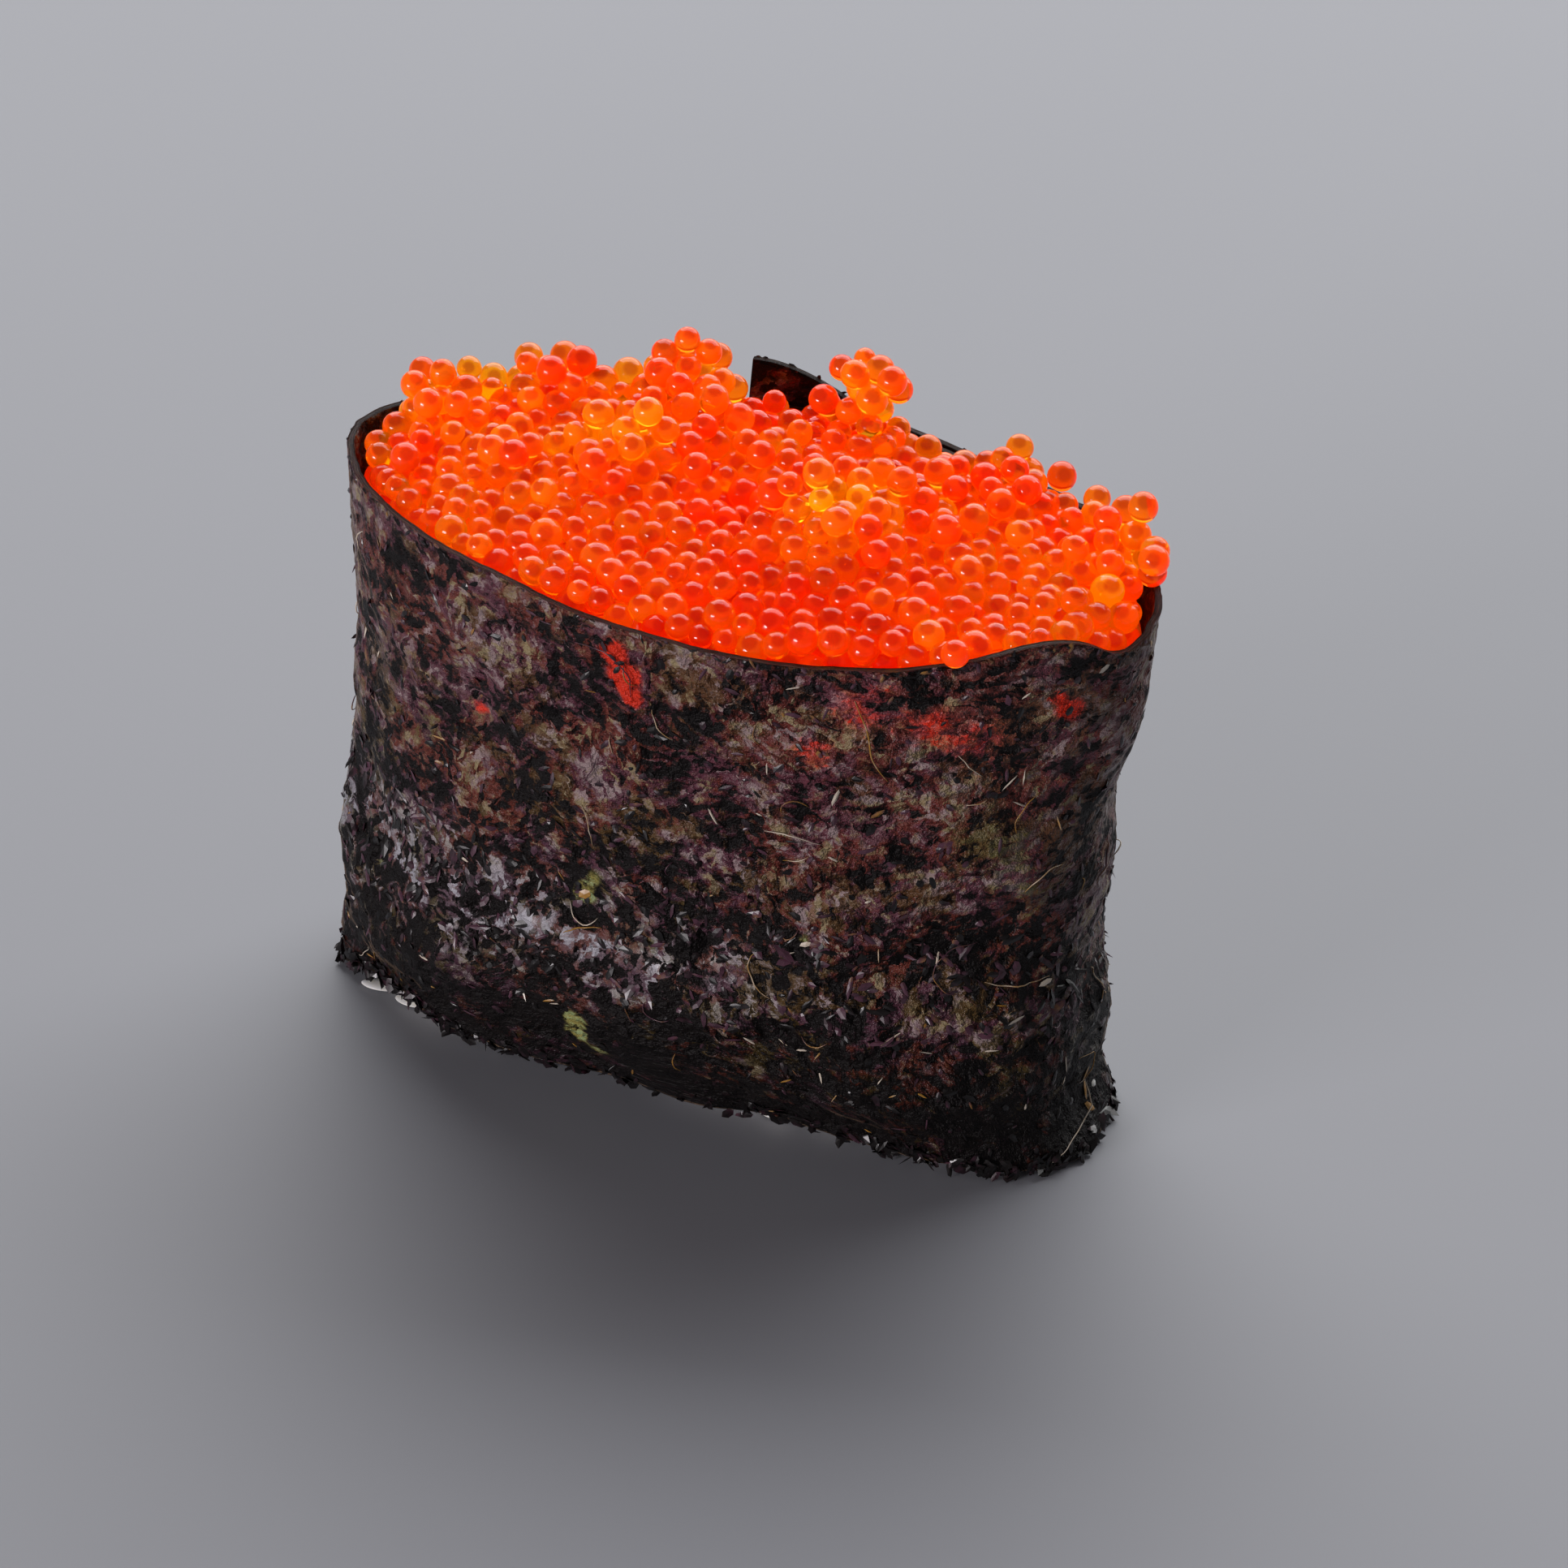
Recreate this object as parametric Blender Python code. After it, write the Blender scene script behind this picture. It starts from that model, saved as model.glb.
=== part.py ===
"""Gunkan sushi: a strip of seaweed wrapped round pressed rice and filled up with small round fish roe.

Run it with: blender --background --python part.py
Units are metres, +Z is up, +X runs along the oval and the origin is on the board under its middle.
"""

import math

import bmesh
import bpy
import numpy as np
from mathutils import Euler, Matrix, Vector

MM = 0.001

# The wrap: a strip of seaweed, wound once round the oval and a little over its own start
BAND_HEIGHT = 37.5 * MM
SHEET = 0.4 * MM
CLEARANCE = 0.3 * MM
FILLING_GAP = 0.5 * MM
INNER_END_ROOM = math.radians(12.0)
STRIP_END_ANGLE = math.radians(105.0)
OVERLAP_ANGLE = math.radians(52.0)
MOVE_IN_FROM = math.radians(285.0)
MOVE_IN_TURN = math.radians(62.0)
END_RISE = 2.7 * MM
END_RISE_RUN = 6.5 * MM

# The wall's outline at each height: height, reach to the left and right, half width, squareness
WALL = (
    (0.0 * MM, 25.9 * MM, 25.2 * MM, 8.6 * MM, 3.1),
    (2.5 * MM, 25.7 * MM, 24.8 * MM, 10.1 * MM, 2.9),
    (5.5 * MM, 25.2 * MM, 24.3 * MM, 12.0 * MM, 2.55),
    (9.5 * MM, 25.5 * MM, 23.9 * MM, 13.4 * MM, 2.25),
    (16.0 * MM, 25.1 * MM, 23.7 * MM, 13.0 * MM, 2.05),
    (25.0 * MM, 25.0 * MM, 24.4 * MM, 13.7 * MM, 1.95),
    (33.0 * MM, 25.7 * MM, 25.4 * MM, 14.6 * MM, 1.88),
    (41.0 * MM, 26.2 * MM, 26.2 * MM, 15.3 * MM, 1.80),
)

# Rises and dips of the front rim: x, rise and run
RIM_WAVES = (
    (-12.0 * MM, 0.2 * MM, 6.0 * MM),
    (8.0 * MM, -0.6 * MM, 8.0 * MM),
    (21.3 * MM, 1.1 * MM, 3.0 * MM),
    (25.2 * MM, -1.2 * MM, 1.2 * MM),
)

# Crumples of the damp seaweed: waves through space that push the wall in and out
CRUMPLE_SEED = 7
CRUMPLE_COUNT = 14
CRUMPLE_DEPTH = 0.11 * MM
CRUMPLE_SPAN = (7.0 * MM, 15.0 * MM)
TUCK_DEPTH = 0.32 * MM
TUCK_SPAN = 6.8 * MM
TUCK_TOP = 13.0 * MM

# The hem: nearly down on the board, and lifted along the front, most where grains push out under it
HEM_GAP = 0.35 * MM
HEM_ARCH = 0.6 * MM

# Lifts of the front hem: x, rise and run
HEM_LIFTS = (
    (-19.8 * MM, 1.5 * MM, 4.2 * MM),
    (6.9 * MM, 0.7 * MM, 3.2 * MM),
    (18.3 * MM, 0.3 * MM, 3.0 * MM),
)

# Grains that show under the front hem: x, length and height
HEM_GRAINS = (
    (-20.0 * MM, 3.8 * MM, 1.5 * MM),
    (6.9 * MM, 4.2 * MM, 1.5 * MM),
    (18.3 * MM, 4.4 * MM, 1.0 * MM),
)

# The rice: a pressed block with whole grains showing underneath
RICE_TOP = 21.0 * MM
RICE_CORE_BOTTOM = 1.1 * MM
GRAIN_LENGTH = 5.2 * MM
GRAIN_WIDTH = 2.6 * MM
GRAIN_HEIGHT = 2.2 * MM
GRAIN_SIDES = 6
GRAIN_ROW = 2.7 * MM
GRAIN_STEP = 5.0 * MM
GRAIN_SHAKE = 0.5 * MM
GRAIN_SWING = 0.45
GRAIN_SEED = 11

# The roe: round eggs heaped to the rim and over it
EGG = 2.05 * MM
EGG_SEED = 23
EGG_SPACING = 1.15 * EGG
EDGE_SPACING = 1.08 * EGG
EGG_SHAKE = 0.4 * EGG
CORE_SUNK = 0.72 * EGG
FRONT_LEVEL = 0.4 * MM
BACK_LEVEL = 1.3 * MM
DOME = 1.5 * MM
TIP_DROP = 1.8 * MM
TIP_RUN = 4.0 * MM

# Lumps and hollows of the heap: x, y, height and radius
LUMPS = (
    (-9.0 * MM, 11.8 * MM, 1.4 * MM, 2.6 * MM),
    (-16.0 * MM, 8.5 * MM, 1.0 * MM, 4.5 * MM),
    (-22.4 * MM, 4.2 * MM, 1.9 * MM, 2.6 * MM),
    (-8.5 * MM, 1.0 * MM, 1.1 * MM, 3.2 * MM),
    (5.7 * MM, -1.2 * MM, 1.5 * MM, 3.4 * MM),
    (-0.8 * MM, -0.4 * MM, -2.0 * MM, 2.4 * MM),
    (-2.2 * MM, 12.0 * MM, -1.6 * MM, 2.8 * MM),
    (2.8 * MM, 12.4 * MM, 1.3 * MM, 2.2 * MM),
    (15.4 * MM, 8.0 * MM, 1.1 * MM, 2.8 * MM),
    (10.8 * MM, 11.2 * MM, -0.9 * MM, 2.0 * MM),
    (20.5 * MM, 5.8 * MM, 1.2 * MM, 2.6 * MM),
)

# Loose eggs that lie on the heap: x, y and how far their middle is above the heap
PERCHED = (
    (2.2 * MM, 12.6 * MM, 0.9 * MM),
    (3.9 * MM, 12.2 * MM, 1.0 * MM),
    (3.0 * MM, 11.6 * MM, 2.1 * MM),
    (20.4 * MM, 6.9 * MM, 0.8 * MM),
    (22.0 * MM, 6.0 * MM, 0.7 * MM),
    (17.2 * MM, -9.0 * MM, 0.8 * MM),
    (-8.6 * MM, 11.6 * MM, 0.8 * MM),
    (-14.8 * MM, 9.3 * MM, 0.5 * MM),
)

# Mesh fineness: the rows are shares of the wrap's height, closest together where it curves most
STRIP_STEPS = 72
ROWS = (0.0, 0.06, 0.14, 0.23, 0.33, 0.46, 0.68, 0.86, 1.0)
ROUND_STEPS = 36
HEAP_RINGS = 4

# Name, colour and roughness of each material
SEAWEED = ("seaweed", (0.022, 0.018, 0.020), 0.45)
ROE = ("roe", (0.95, 0.22, 0.03), 0.18)
RICE = ("rice", (0.86, 0.84, 0.78), 0.5)


def clear_scene():
    for thing in list(bpy.data.objects):
        bpy.data.objects.remove(thing)


def dress(mesh, look):
    """Gives a mesh its one material."""
    name, colour, roughness = look
    material = bpy.data.materials.new(name)
    material.use_nodes = True
    shader = material.node_tree.nodes["Principled BSDF"]
    shader.inputs["Base Color"].default_value = (*colour, 1.0)
    shader.inputs["Roughness"].default_value = roughness
    shader.inputs["Metallic"].default_value = 0.0
    mesh.materials.clear()
    mesh.materials.append(material)


def mesh_from(bm, name):
    """A mesh of triangles from a bmesh, which is then let go."""
    bmesh.ops.triangulate(bm, faces=bm.faces, quad_method="FIXED")
    mesh = bpy.data.meshes.new(name)
    bm.to_mesh(mesh)
    bm.free()
    return mesh


def add_object(name, mesh):
    thing = bpy.data.objects.new(name, mesh)
    bpy.context.scene.collection.objects.link(thing)
    return thing


def eased(share):
    """0 to 1 with a soft start and end."""
    share = min(max(share, 0.0), 1.0)
    return share * share * (3.0 - 2.0 * share)


def wall_station(height):
    """Reach left and right, half width and squareness at a height, on a smooth curve through WALL."""
    rows = np.array(WALL)
    height = min(max(height, rows[0, 0]), rows[-1, 0])
    slopes = np.gradient(rows[:, 1:], rows[:, 0], axis=0)
    k = min(int(np.searchsorted(rows[:, 0], height, side="right")) - 1, len(rows) - 2)
    run = rows[k + 1, 0] - rows[k, 0]
    s = (height - rows[k, 0]) / run
    near = rows[k, 1:] * (1 + 2 * s) * (1 - s) ** 2 + slopes[k] * run * s * (1 - s) ** 2
    far = rows[k + 1, 1:] * s * s * (3 - 2 * s) + slopes[k + 1] * run * s * s * (s - 1)
    return near + far


def oval_point(left, right, half_width, squareness, angle):
    """A point of a superellipse whose two ends reach out unequally."""
    c, s = math.cos(angle), math.sin(angle)
    x = (right if c > 0 else left) * math.copysign(abs(c) ** (2 / squareness), c)
    y = half_width * math.copysign(abs(s) ** (2 / squareness), s)
    return Vector((x, y))


def make_crumples():
    """Directions, phases and depths of the waves that crumple the wall."""
    draw = np.random.default_rng(CRUMPLE_SEED)
    waves = []
    for _ in range(CRUMPLE_COUNT):
        direction = Vector(draw.normal(size=3)).normalized()
        span = draw.uniform(*CRUMPLE_SPAN)
        waves.append((direction * (2 * math.pi / span), draw.uniform(0, 2 * math.pi)))
    return waves


CRUMPLES = make_crumples()


def crumple(point):
    """How far the wall is pushed out at a point: loose waves, and level tucks in its lower third."""
    push = sum(CRUMPLE_DEPTH * math.cos(wave.dot(point) + phase) for wave, phase in CRUMPLES)
    push *= 1.0 - 0.6 * eased((point.z - 0.55 * BAND_HEIGHT) / (0.3 * BAND_HEIGHT))
    fade = 1.0 - eased(point.z / TUCK_TOP)
    bend = 1.3 * math.sin(point.x / (6 * MM)) + 0.9 * math.cos(point.y / (5 * MM))
    return push + TUCK_DEPTH * fade * math.cos(2 * math.pi * point.z / TUCK_SPAN + bend)


def wall_point(angle, height, inset=0.0):
    """A point of the wrap's outer face, or of a surface that lies inset inside it."""
    station = wall_station(height)
    here = oval_point(*station, angle)
    step = 1e-3
    along = oval_point(*station, angle + step) - oval_point(*station, angle - step)
    outward = Vector((along.y, -along.x)).normalized()
    push = crumple(Vector((here.x, here.y, height))) - inset
    return Vector((here.x + outward.x * push, here.y + outward.y * push, height))


def even_angles(start, turn, count, height):
    """Angles from start through a turn, evenly spaced along the wall at a height."""
    fine = np.linspace(start, start + turn, 1441)
    station = wall_station(height)
    points = np.array([oval_point(*station, a) for a in fine])
    run = np.concatenate([[0], np.cumsum(np.linalg.norm(np.diff(points, axis=0), axis=1))])
    return np.interp(np.linspace(0, run[-1], count + 1), run, fine)


def hem_height(point):
    """Height of the seaweed's lower edge above the board at a plan position."""
    lift = HEM_GAP
    if point.y < 0:
        lift += HEM_ARCH * max(0.0, 1.0 - (point.x / WALL[0][1]) ** 2)
        lift += sum(rise * math.exp(-(((point.x - x) / run) ** 2)) for x, rise, run in HEM_LIFTS)
    return lift


def rim_height(point, from_end):
    """Height of the seaweed's upper edge, from_end along the strip from its outer end."""
    wave = sum(rise * math.exp(-(((point.x - x) / run) ** 2)) for x, rise, run in RIM_WAVES)
    wave *= eased(0.5 - point.y / (5 * MM))
    return BAND_HEIGHT + wave + END_RISE * math.exp(-((from_end / END_RISE_RUN) ** 2))


def layer_inset(turned):
    """How far the strip has moved in after turning this far, so that it passes under its outer end."""
    return (SHEET + CLEARANCE) * eased((turned - MOVE_IN_FROM) / MOVE_IN_TURN)


def strip_grid(bm, angles, depth):
    """Columns of corners along one face of the strip, from its outer end to its inner end."""
    grid = []
    walked = 0.0
    before = wall_point(angles[0], BAND_HEIGHT)
    for angle in angles:
        inset = layer_inset(STRIP_END_ANGLE - angle) + depth
        brow = wall_point(angle, BAND_HEIGHT)
        walked += (brow - before).length
        before = brow
        low = hem_height(wall_point(angle, 0.0))
        high = rim_height(brow, walked)
        grid.append([bm.verts.new(wall_point(angle, low + (high - low) * share, inset)) for share in ROWS])
    return grid


def build_seaweed():
    """The strip: its outer and inner faces as two grids, joined round their edges."""
    turn = 2 * math.pi + OVERLAP_ANGLE
    angles = even_angles(STRIP_END_ANGLE, -turn, STRIP_STEPS, BAND_HEIGHT / 2)
    bm = bmesh.new()
    outer = strip_grid(bm, angles, 0.0)
    inner = strip_grid(bm, angles, SHEET)
    rows = len(ROWS) - 1
    for i in range(STRIP_STEPS):
        for j in range(rows):
            bm.faces.new((outer[i][j], outer[i][j + 1], outer[i + 1][j + 1], outer[i + 1][j]))
            bm.faces.new((inner[i][j], inner[i + 1][j], inner[i + 1][j + 1], inner[i][j + 1]))
        for j in (0, rows):
            bm.faces.new((outer[i][j], outer[i + 1][j], inner[i + 1][j], inner[i][j]))
    for i in (0, STRIP_STEPS):
        for j in range(rows):
            bm.faces.new((outer[i][j], inner[i][j], inner[i][j + 1], outer[i][j + 1]))
    bmesh.ops.recalc_face_normals(bm, faces=bm.faces)
    mesh = mesh_from(bm, "seaweed")
    mesh.shade_smooth()
    dress(mesh, SEAWEED)
    add_object("seaweed", mesh)


def filling_inset(angle):
    """Room that the filling leaves for the wrap, doubled where the strip's inner end lies under it."""
    back = (STRIP_END_ANGLE - angle) % (2 * math.pi)
    under = back < OVERLAP_ANGLE + INNER_END_ROOM
    step_in = SHEET + CLEARANCE if under else layer_inset(back)
    return SHEET + FILLING_GAP + step_in


def loft(name, rings):
    """A closed solid through rings of points, from its underside up, with a middle point at each end."""
    bm = bmesh.new()
    loops = [[bm.verts.new(p) for p in ring] for ring in rings]
    count = len(loops[0])
    for low, high in zip(loops, loops[1:]):
        for i in range(count):
            j = (i + 1) % count
            bm.faces.new((low[i], low[j], high[j], high[i]))
    for loop in (loops[0], loops[-1]):
        middle = bm.verts.new(sum((v.co for v in loop), Vector()) / count)
        for i in range(count):
            bm.faces.new((loop[i], loop[(i + 1) % count], middle))
    bmesh.ops.recalc_face_normals(bm, faces=bm.faces)
    return add_object(name, mesh_from(bm, name))


def wall_ring(angles, height):
    """A ring of the filling's side at a height."""
    return [wall_point(a, height, filling_inset(a)) for a in angles]


def fuse(core, pieces, look):
    """Joins the pieces to the core, keeps the one outer body and drops the pieces' own objects."""
    group = bpy.data.collections.new(core.name + "_pieces")
    for piece in pieces:
        group.objects.link(piece)
    union = core.modifiers.new("fuse", "BOOLEAN")
    union.operation = "UNION"
    union.operand_type = "COLLECTION"
    union.collection = group
    union.solver = "EXACT"
    bpy.context.view_layer.update()
    scene_state = bpy.context.evaluated_depsgraph_get()
    whole = bpy.data.meshes.new_from_object(core.evaluated_get(scene_state))
    core.modifiers.clear()
    core.data = whole
    for piece in pieces:
        bpy.data.objects.remove(piece)
    bpy.data.collections.remove(group)
    keep_outer_body(whole)
    dress(whole, look)


def keep_outer_body(mesh):
    """Fills sealed hollows and drops scraps: only the body with the largest box stays."""
    bm = bmesh.new()
    bm.from_mesh(mesh)
    unseen = set(bm.verts)
    bodies = []
    while unseen:
        body = {unseen.pop()}
        edge_of_body = list(body)
        while edge_of_body:
            vert = edge_of_body.pop()
            for edge in vert.link_edges:
                other = edge.other_vert(vert)
                if other in unseen:
                    unseen.remove(other)
                    body.add(other)
                    edge_of_body.append(other)
        bodies.append(body)
    bodies.sort(key=lambda body: max(v.co.x for v in body) - min(v.co.x for v in body))
    for body in bodies[:-1]:
        bmesh.ops.delete(bm, geom=list(body), context="VERTS")
    bmesh.ops.triangulate(bm, faces=bm.faces)
    bm.to_mesh(mesh)
    bm.free()


def egg_mesh():
    """A faceted ball of diameter 1, whose corners stand out a little so that its size is true."""
    bm = bmesh.new()
    bmesh.ops.create_icosphere(bm, subdivisions=1, radius=0.54)
    return mesh_from(bm, "egg")


def heap_height(x, y):
    """Height of the roe's surface, at the tops of the eggs."""
    left, right, half_width, squareness = wall_station(BAND_HEIGHT)
    half_length = right if x > 0 else left
    out = (abs(x / half_length) ** squareness + abs(y / half_width) ** squareness) ** (1 / squareness)
    lean = 0.5 + 0.5 * y / half_width
    level = FRONT_LEVEL + (BACK_LEVEL - FRONT_LEVEL) * lean + DOME * (1 - min(out, 1.0) ** 2)
    level -= TIP_DROP * eased((abs(x) - (half_length - TIP_RUN)) / TIP_RUN)
    for lump_x, lump_y, height, radius in LUMPS:
        level += height * math.exp(-((x - lump_x) ** 2 + (y - lump_y) ** 2) / radius**2)
    return BAND_HEIGHT + level


def room_beside(x, y, ring):
    """How far a plan point is inside a ring of points, or 0 outside it."""
    angle = np.unwrap(np.arctan2(ring[:, 1] - y, ring[:, 0] - x))
    inside = abs(angle[-1] - angle[0]) > math.pi
    return np.hypot(ring[:, 0] - x, ring[:, 1] - y).min() if inside else 0.0


def edge_eggs(ring, draw):
    """The row of eggs along the wall, left out at the two pointed ends."""
    along = np.gradient(ring, axis=0)
    inward = np.stack([-along[:, 1], along[:, 0]], axis=1) / np.linalg.norm(along, axis=1)[:, None]
    middle_line = ring + 0.6 * EGG * inward
    row = middle_line + inward * draw.uniform(-0.04, 0.06, (len(ring), 1)) * EGG
    run = np.concatenate([[0], np.cumsum(np.linalg.norm(np.diff(middle_line, axis=0), axis=1))])
    steps = np.arange(0, run[-1] - EGG, EDGE_SPACING)
    points = np.array([np.interp(steps, run, row[:, k]) for k in (0, 1)]).T
    return points[[room_beside(x, y, ring) > 0.5 * EGG for x, y in points]]


def scatter_eggs():
    """Plan positions of the top layer: a row along the wall, and a shaken grid eased apart inside it."""
    draw = np.random.default_rng(EGG_SEED)
    ring = np.array(wall_ring(np.linspace(0, 2 * math.pi, 400), BAND_HEIGHT))[:, :2]
    edge = edge_eggs(ring, draw)
    row_step = EGG_SPACING * math.sqrt(3) / 2
    inner = []
    for row, y in enumerate(np.arange(ring[:, 1].min(), ring[:, 1].max(), row_step)):
        for x in np.arange(ring[:, 0].min() + (row % 2) * EGG_SPACING / 2, ring[:, 0].max(), EGG_SPACING):
            if room_beside(x, y, ring) > 1.35 * EGG:
                inner.append(np.array((x, y)) + draw.uniform(-EGG_SHAKE, EGG_SHAKE, 2))
    points = np.array([*edge, *inner])
    for _ in range(40):
        gap = points[:, None] - points[None]
        distance = np.linalg.norm(gap, axis=2) + np.eye(len(points))
        short = np.clip(EGG_SPACING - distance, 0, None) * (1 - np.eye(len(points)))
        push = 0.25 * (gap / distance[..., None] * short[..., None]).sum(1)
        points[len(edge):] += push[len(edge):]
    return points, draw


def build_roe():
    """The heap: a core with a lumpy top, and the eggs that show fused into it."""
    angles = even_angles(0.0, 2 * math.pi, ROUND_STEPS, BAND_HEIGHT)[:-1]
    floor = RICE_TOP + CLEARANCE
    levels = [BAND_HEIGHT * share for share in ROWS if floor < BAND_HEIGHT * share < BAND_HEIGHT]
    rings = [wall_ring(angles, height) for height in (floor, *levels)]
    rim = rings[-1]
    for ring in range(HEAP_RINGS):
        share = 1.0 - (ring + 0.35) / HEAP_RINGS
        level = [(p.x * share, p.y * share) for p in rim]
        rings.append([Vector((x, y, heap_height(x, y) - CORE_SUNK)) for x, y in level])
    core = loft("roe", rings)
    points, draw = scatter_eggs()
    ball = egg_mesh()
    eggs = []
    places = [(x, y, heap_height(x, y) - EGG / 2 + draw.uniform(-0.12, 0.12) * EGG) for x, y in points]
    places += [(x, y, heap_height(x, y) - EGG / 2 + above) for x, y, above in PERCHED]
    for x, y, z in places:
        egg = add_object("egg", ball)
        egg.location = (x, y, z)
        egg.rotation_euler = Euler(draw.uniform(0, math.pi, 3))
        egg.scale = [EGG * draw.uniform(0.88, 1.0)] * 3
        eggs.append(egg)
    fuse(core, eggs, ROE)


def grain_mesh():
    """A grain of length, width and height 1, pressed flat underneath."""
    bm = bmesh.new()
    loops = []
    for height, spread in ((0.0, 0.36), (0.3, 0.5), (1.0, 0.3)):
        ring = [math.pi * (2 * k + 1) / GRAIN_SIDES for k in range(GRAIN_SIDES)]
        loops.append([bm.verts.new((spread * math.cos(a), spread * math.sin(a), height)) for a in ring])
    for low, high in zip(loops, loops[1:]):
        for i in range(GRAIN_SIDES):
            j = (i + 1) % GRAIN_SIDES
            bm.faces.new((low[i], low[j], high[j], high[i]))
    bm.faces.new(loops[0][::-1])
    bm.faces.new(loops[-1])
    return mesh_from(bm, "grain")


def place_grain(shape, x, y, size, heading):
    grain = add_object("grain", shape)
    grain.location = (x, y, 0)
    grain.rotation_euler = Euler((0, 0, heading))
    grain.scale = size
    return grain


def underside_grains(shape):
    """Grains in loose rows over the underside, one of them right under the middle."""
    draw = np.random.default_rng(GRAIN_SEED)
    left, right, half_width, squareness = wall_station(0.0)
    half_length = min(left, right)
    room_x = half_length - GRAIN_LENGTH / 2 - CLEARANCE
    room_y = half_width - 0.62 * GRAIN_WIDTH - SHEET - CLEARANCE
    whole = Vector((GRAIN_LENGTH, GRAIN_WIDTH, GRAIN_HEIGHT))
    grains = [place_grain(shape, 0, 0, whole, 0.0)]
    rows = int(half_width // GRAIN_ROW)
    for row in range(-rows, rows + 1):
        for x in np.arange(-half_length, half_length, GRAIN_STEP):
            here = Vector((x + (row % 2) * GRAIN_STEP / 2, row * GRAIN_ROW))
            here += Vector(draw.uniform(-GRAIN_SHAKE, GRAIN_SHAKE, 2))
            outside = abs(here.x / room_x) ** squareness + abs(here.y / room_y) ** squareness > 1.0
            if outside or here.length < 0.6 * GRAIN_LENGTH:
                continue
            size = whole * draw.uniform(0.86, 1.0)
            grains.append(place_grain(shape, here.x, here.y, size, draw.normal(0, GRAIN_SWING)))
    return grains


def hem_grains(shape):
    """Grains that push out under the front hem."""
    left, right, half_width, squareness = wall_station(0.0)
    grains = []
    for x, length, height in HEM_GRAINS:
        front = -half_width * (1 - abs(x / min(left, right)) ** squareness) ** (1 / squareness)
        size = (length, GRAIN_WIDTH, height)
        grains.append(place_grain(shape, x, front + 0.3 * GRAIN_WIDTH, size, 0.2))
    return grains


def build_rice():
    """The block of rice: a plain core, with grains pressed flat on the board fused under it."""
    angles = even_angles(0.0, 2 * math.pi, ROUND_STEPS, BAND_HEIGHT / 4)[:-1]
    levels = [BAND_HEIGHT * share for share in ROWS if 0 < BAND_HEIGHT * share < RICE_TOP]
    heights = [RICE_CORE_BOTTOM, *levels, RICE_TOP]
    core = loft("rice", [wall_ring(angles, height) for height in heights])
    shape = grain_mesh()
    fuse(core, underside_grains(shape) + hem_grains(shape), RICE)


def centre_over_origin():
    """Moves the solids together, so that the middle of their box is over the origin."""
    meshes = [thing.data for thing in bpy.data.objects]
    corners = np.array([vert.co for mesh in meshes for vert in mesh.vertices])
    middle = (corners.min(axis=0) + corners.max(axis=0)) / 2
    for mesh in meshes:
        mesh.transform(Matrix.Translation((-middle[0], -middle[1], 0)))


def main():
    clear_scene()
    build_seaweed()
    build_rice()
    build_roe()
    centre_over_origin()


main()
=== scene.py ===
"""Gunkan sushi: the looks of its seaweed wrap, fish roe and rice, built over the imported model."""

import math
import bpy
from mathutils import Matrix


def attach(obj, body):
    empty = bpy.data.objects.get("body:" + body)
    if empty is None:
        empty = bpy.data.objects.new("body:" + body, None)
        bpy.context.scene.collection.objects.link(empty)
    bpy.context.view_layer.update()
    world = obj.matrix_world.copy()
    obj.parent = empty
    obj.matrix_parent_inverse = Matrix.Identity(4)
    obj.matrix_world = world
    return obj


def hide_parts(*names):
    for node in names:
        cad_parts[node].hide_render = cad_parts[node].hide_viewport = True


bl_info = {
    "name": "Gunkan Sushi",
    "version": (1, 0, 0),
    "blender": (4, 5, 0),
    "location": "3D View > Sidebar > Gunkan Sushi",
    "description": "Builds the seaweed wrap, the roe and the rice of a gunkan sushi over its packed model",
    "category": "Add Mesh",
}

from typing import NamedTuple

import bmesh
import bpy
import numpy as np
from bpy.props import FloatProperty, FloatVectorProperty, IntProperty, PointerProperty
from bpy.types import Operator, Panel, PropertyGroup
from mathutils import Euler, Matrix, Vector, noise

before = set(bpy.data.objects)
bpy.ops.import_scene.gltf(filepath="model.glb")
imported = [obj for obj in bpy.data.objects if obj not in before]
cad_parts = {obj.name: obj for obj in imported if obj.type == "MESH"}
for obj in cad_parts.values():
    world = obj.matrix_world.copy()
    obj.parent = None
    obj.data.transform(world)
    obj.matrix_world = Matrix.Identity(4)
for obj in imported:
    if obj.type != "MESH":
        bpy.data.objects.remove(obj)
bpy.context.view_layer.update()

MM = 0.001

# The solids' own measures, which the pieces here follow
CENTRE = np.array((0.147, -0.090, 0.0)) * MM
BAND_HEIGHT = 37.5 * MM
SHEET_GAP = 0.3 * MM
FILLING_GAP = 0.5 * MM
INNER_END_ROOM = math.radians(12.0)
STRIP_END_ANGLE = math.radians(105.0)
OVERLAP_ANGLE = math.radians(52.0)
STRIP_TURN = 2 * math.pi + OVERLAP_ANGLE
MOVE_IN_FROM = math.radians(285.0)
MOVE_IN_TURN = math.radians(62.0)
END_RISE = 2.7 * MM
END_RISE_RUN = 6.5 * MM

# The wall's outline at each height, in mm: height, reach to the left and right, half width, squareness
WALL = np.array(
    (
        (0.0, 25.9, 25.2, 8.6, 3.1),
        (2.5, 25.7, 24.8, 10.1, 2.9),
        (5.5, 25.2, 24.3, 12.0, 2.55),
        (9.5, 25.5, 23.9, 13.4, 2.25),
        (16.0, 25.1, 23.7, 13.0, 2.05),
        (25.0, 25.0, 24.4, 13.7, 1.95),
        (33.0, 25.7, 25.4, 14.6, 1.88),
        (41.0, 26.2, 26.2, 15.3, 1.80),
    )
) * (MM, MM, MM, MM, 1.0)

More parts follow.
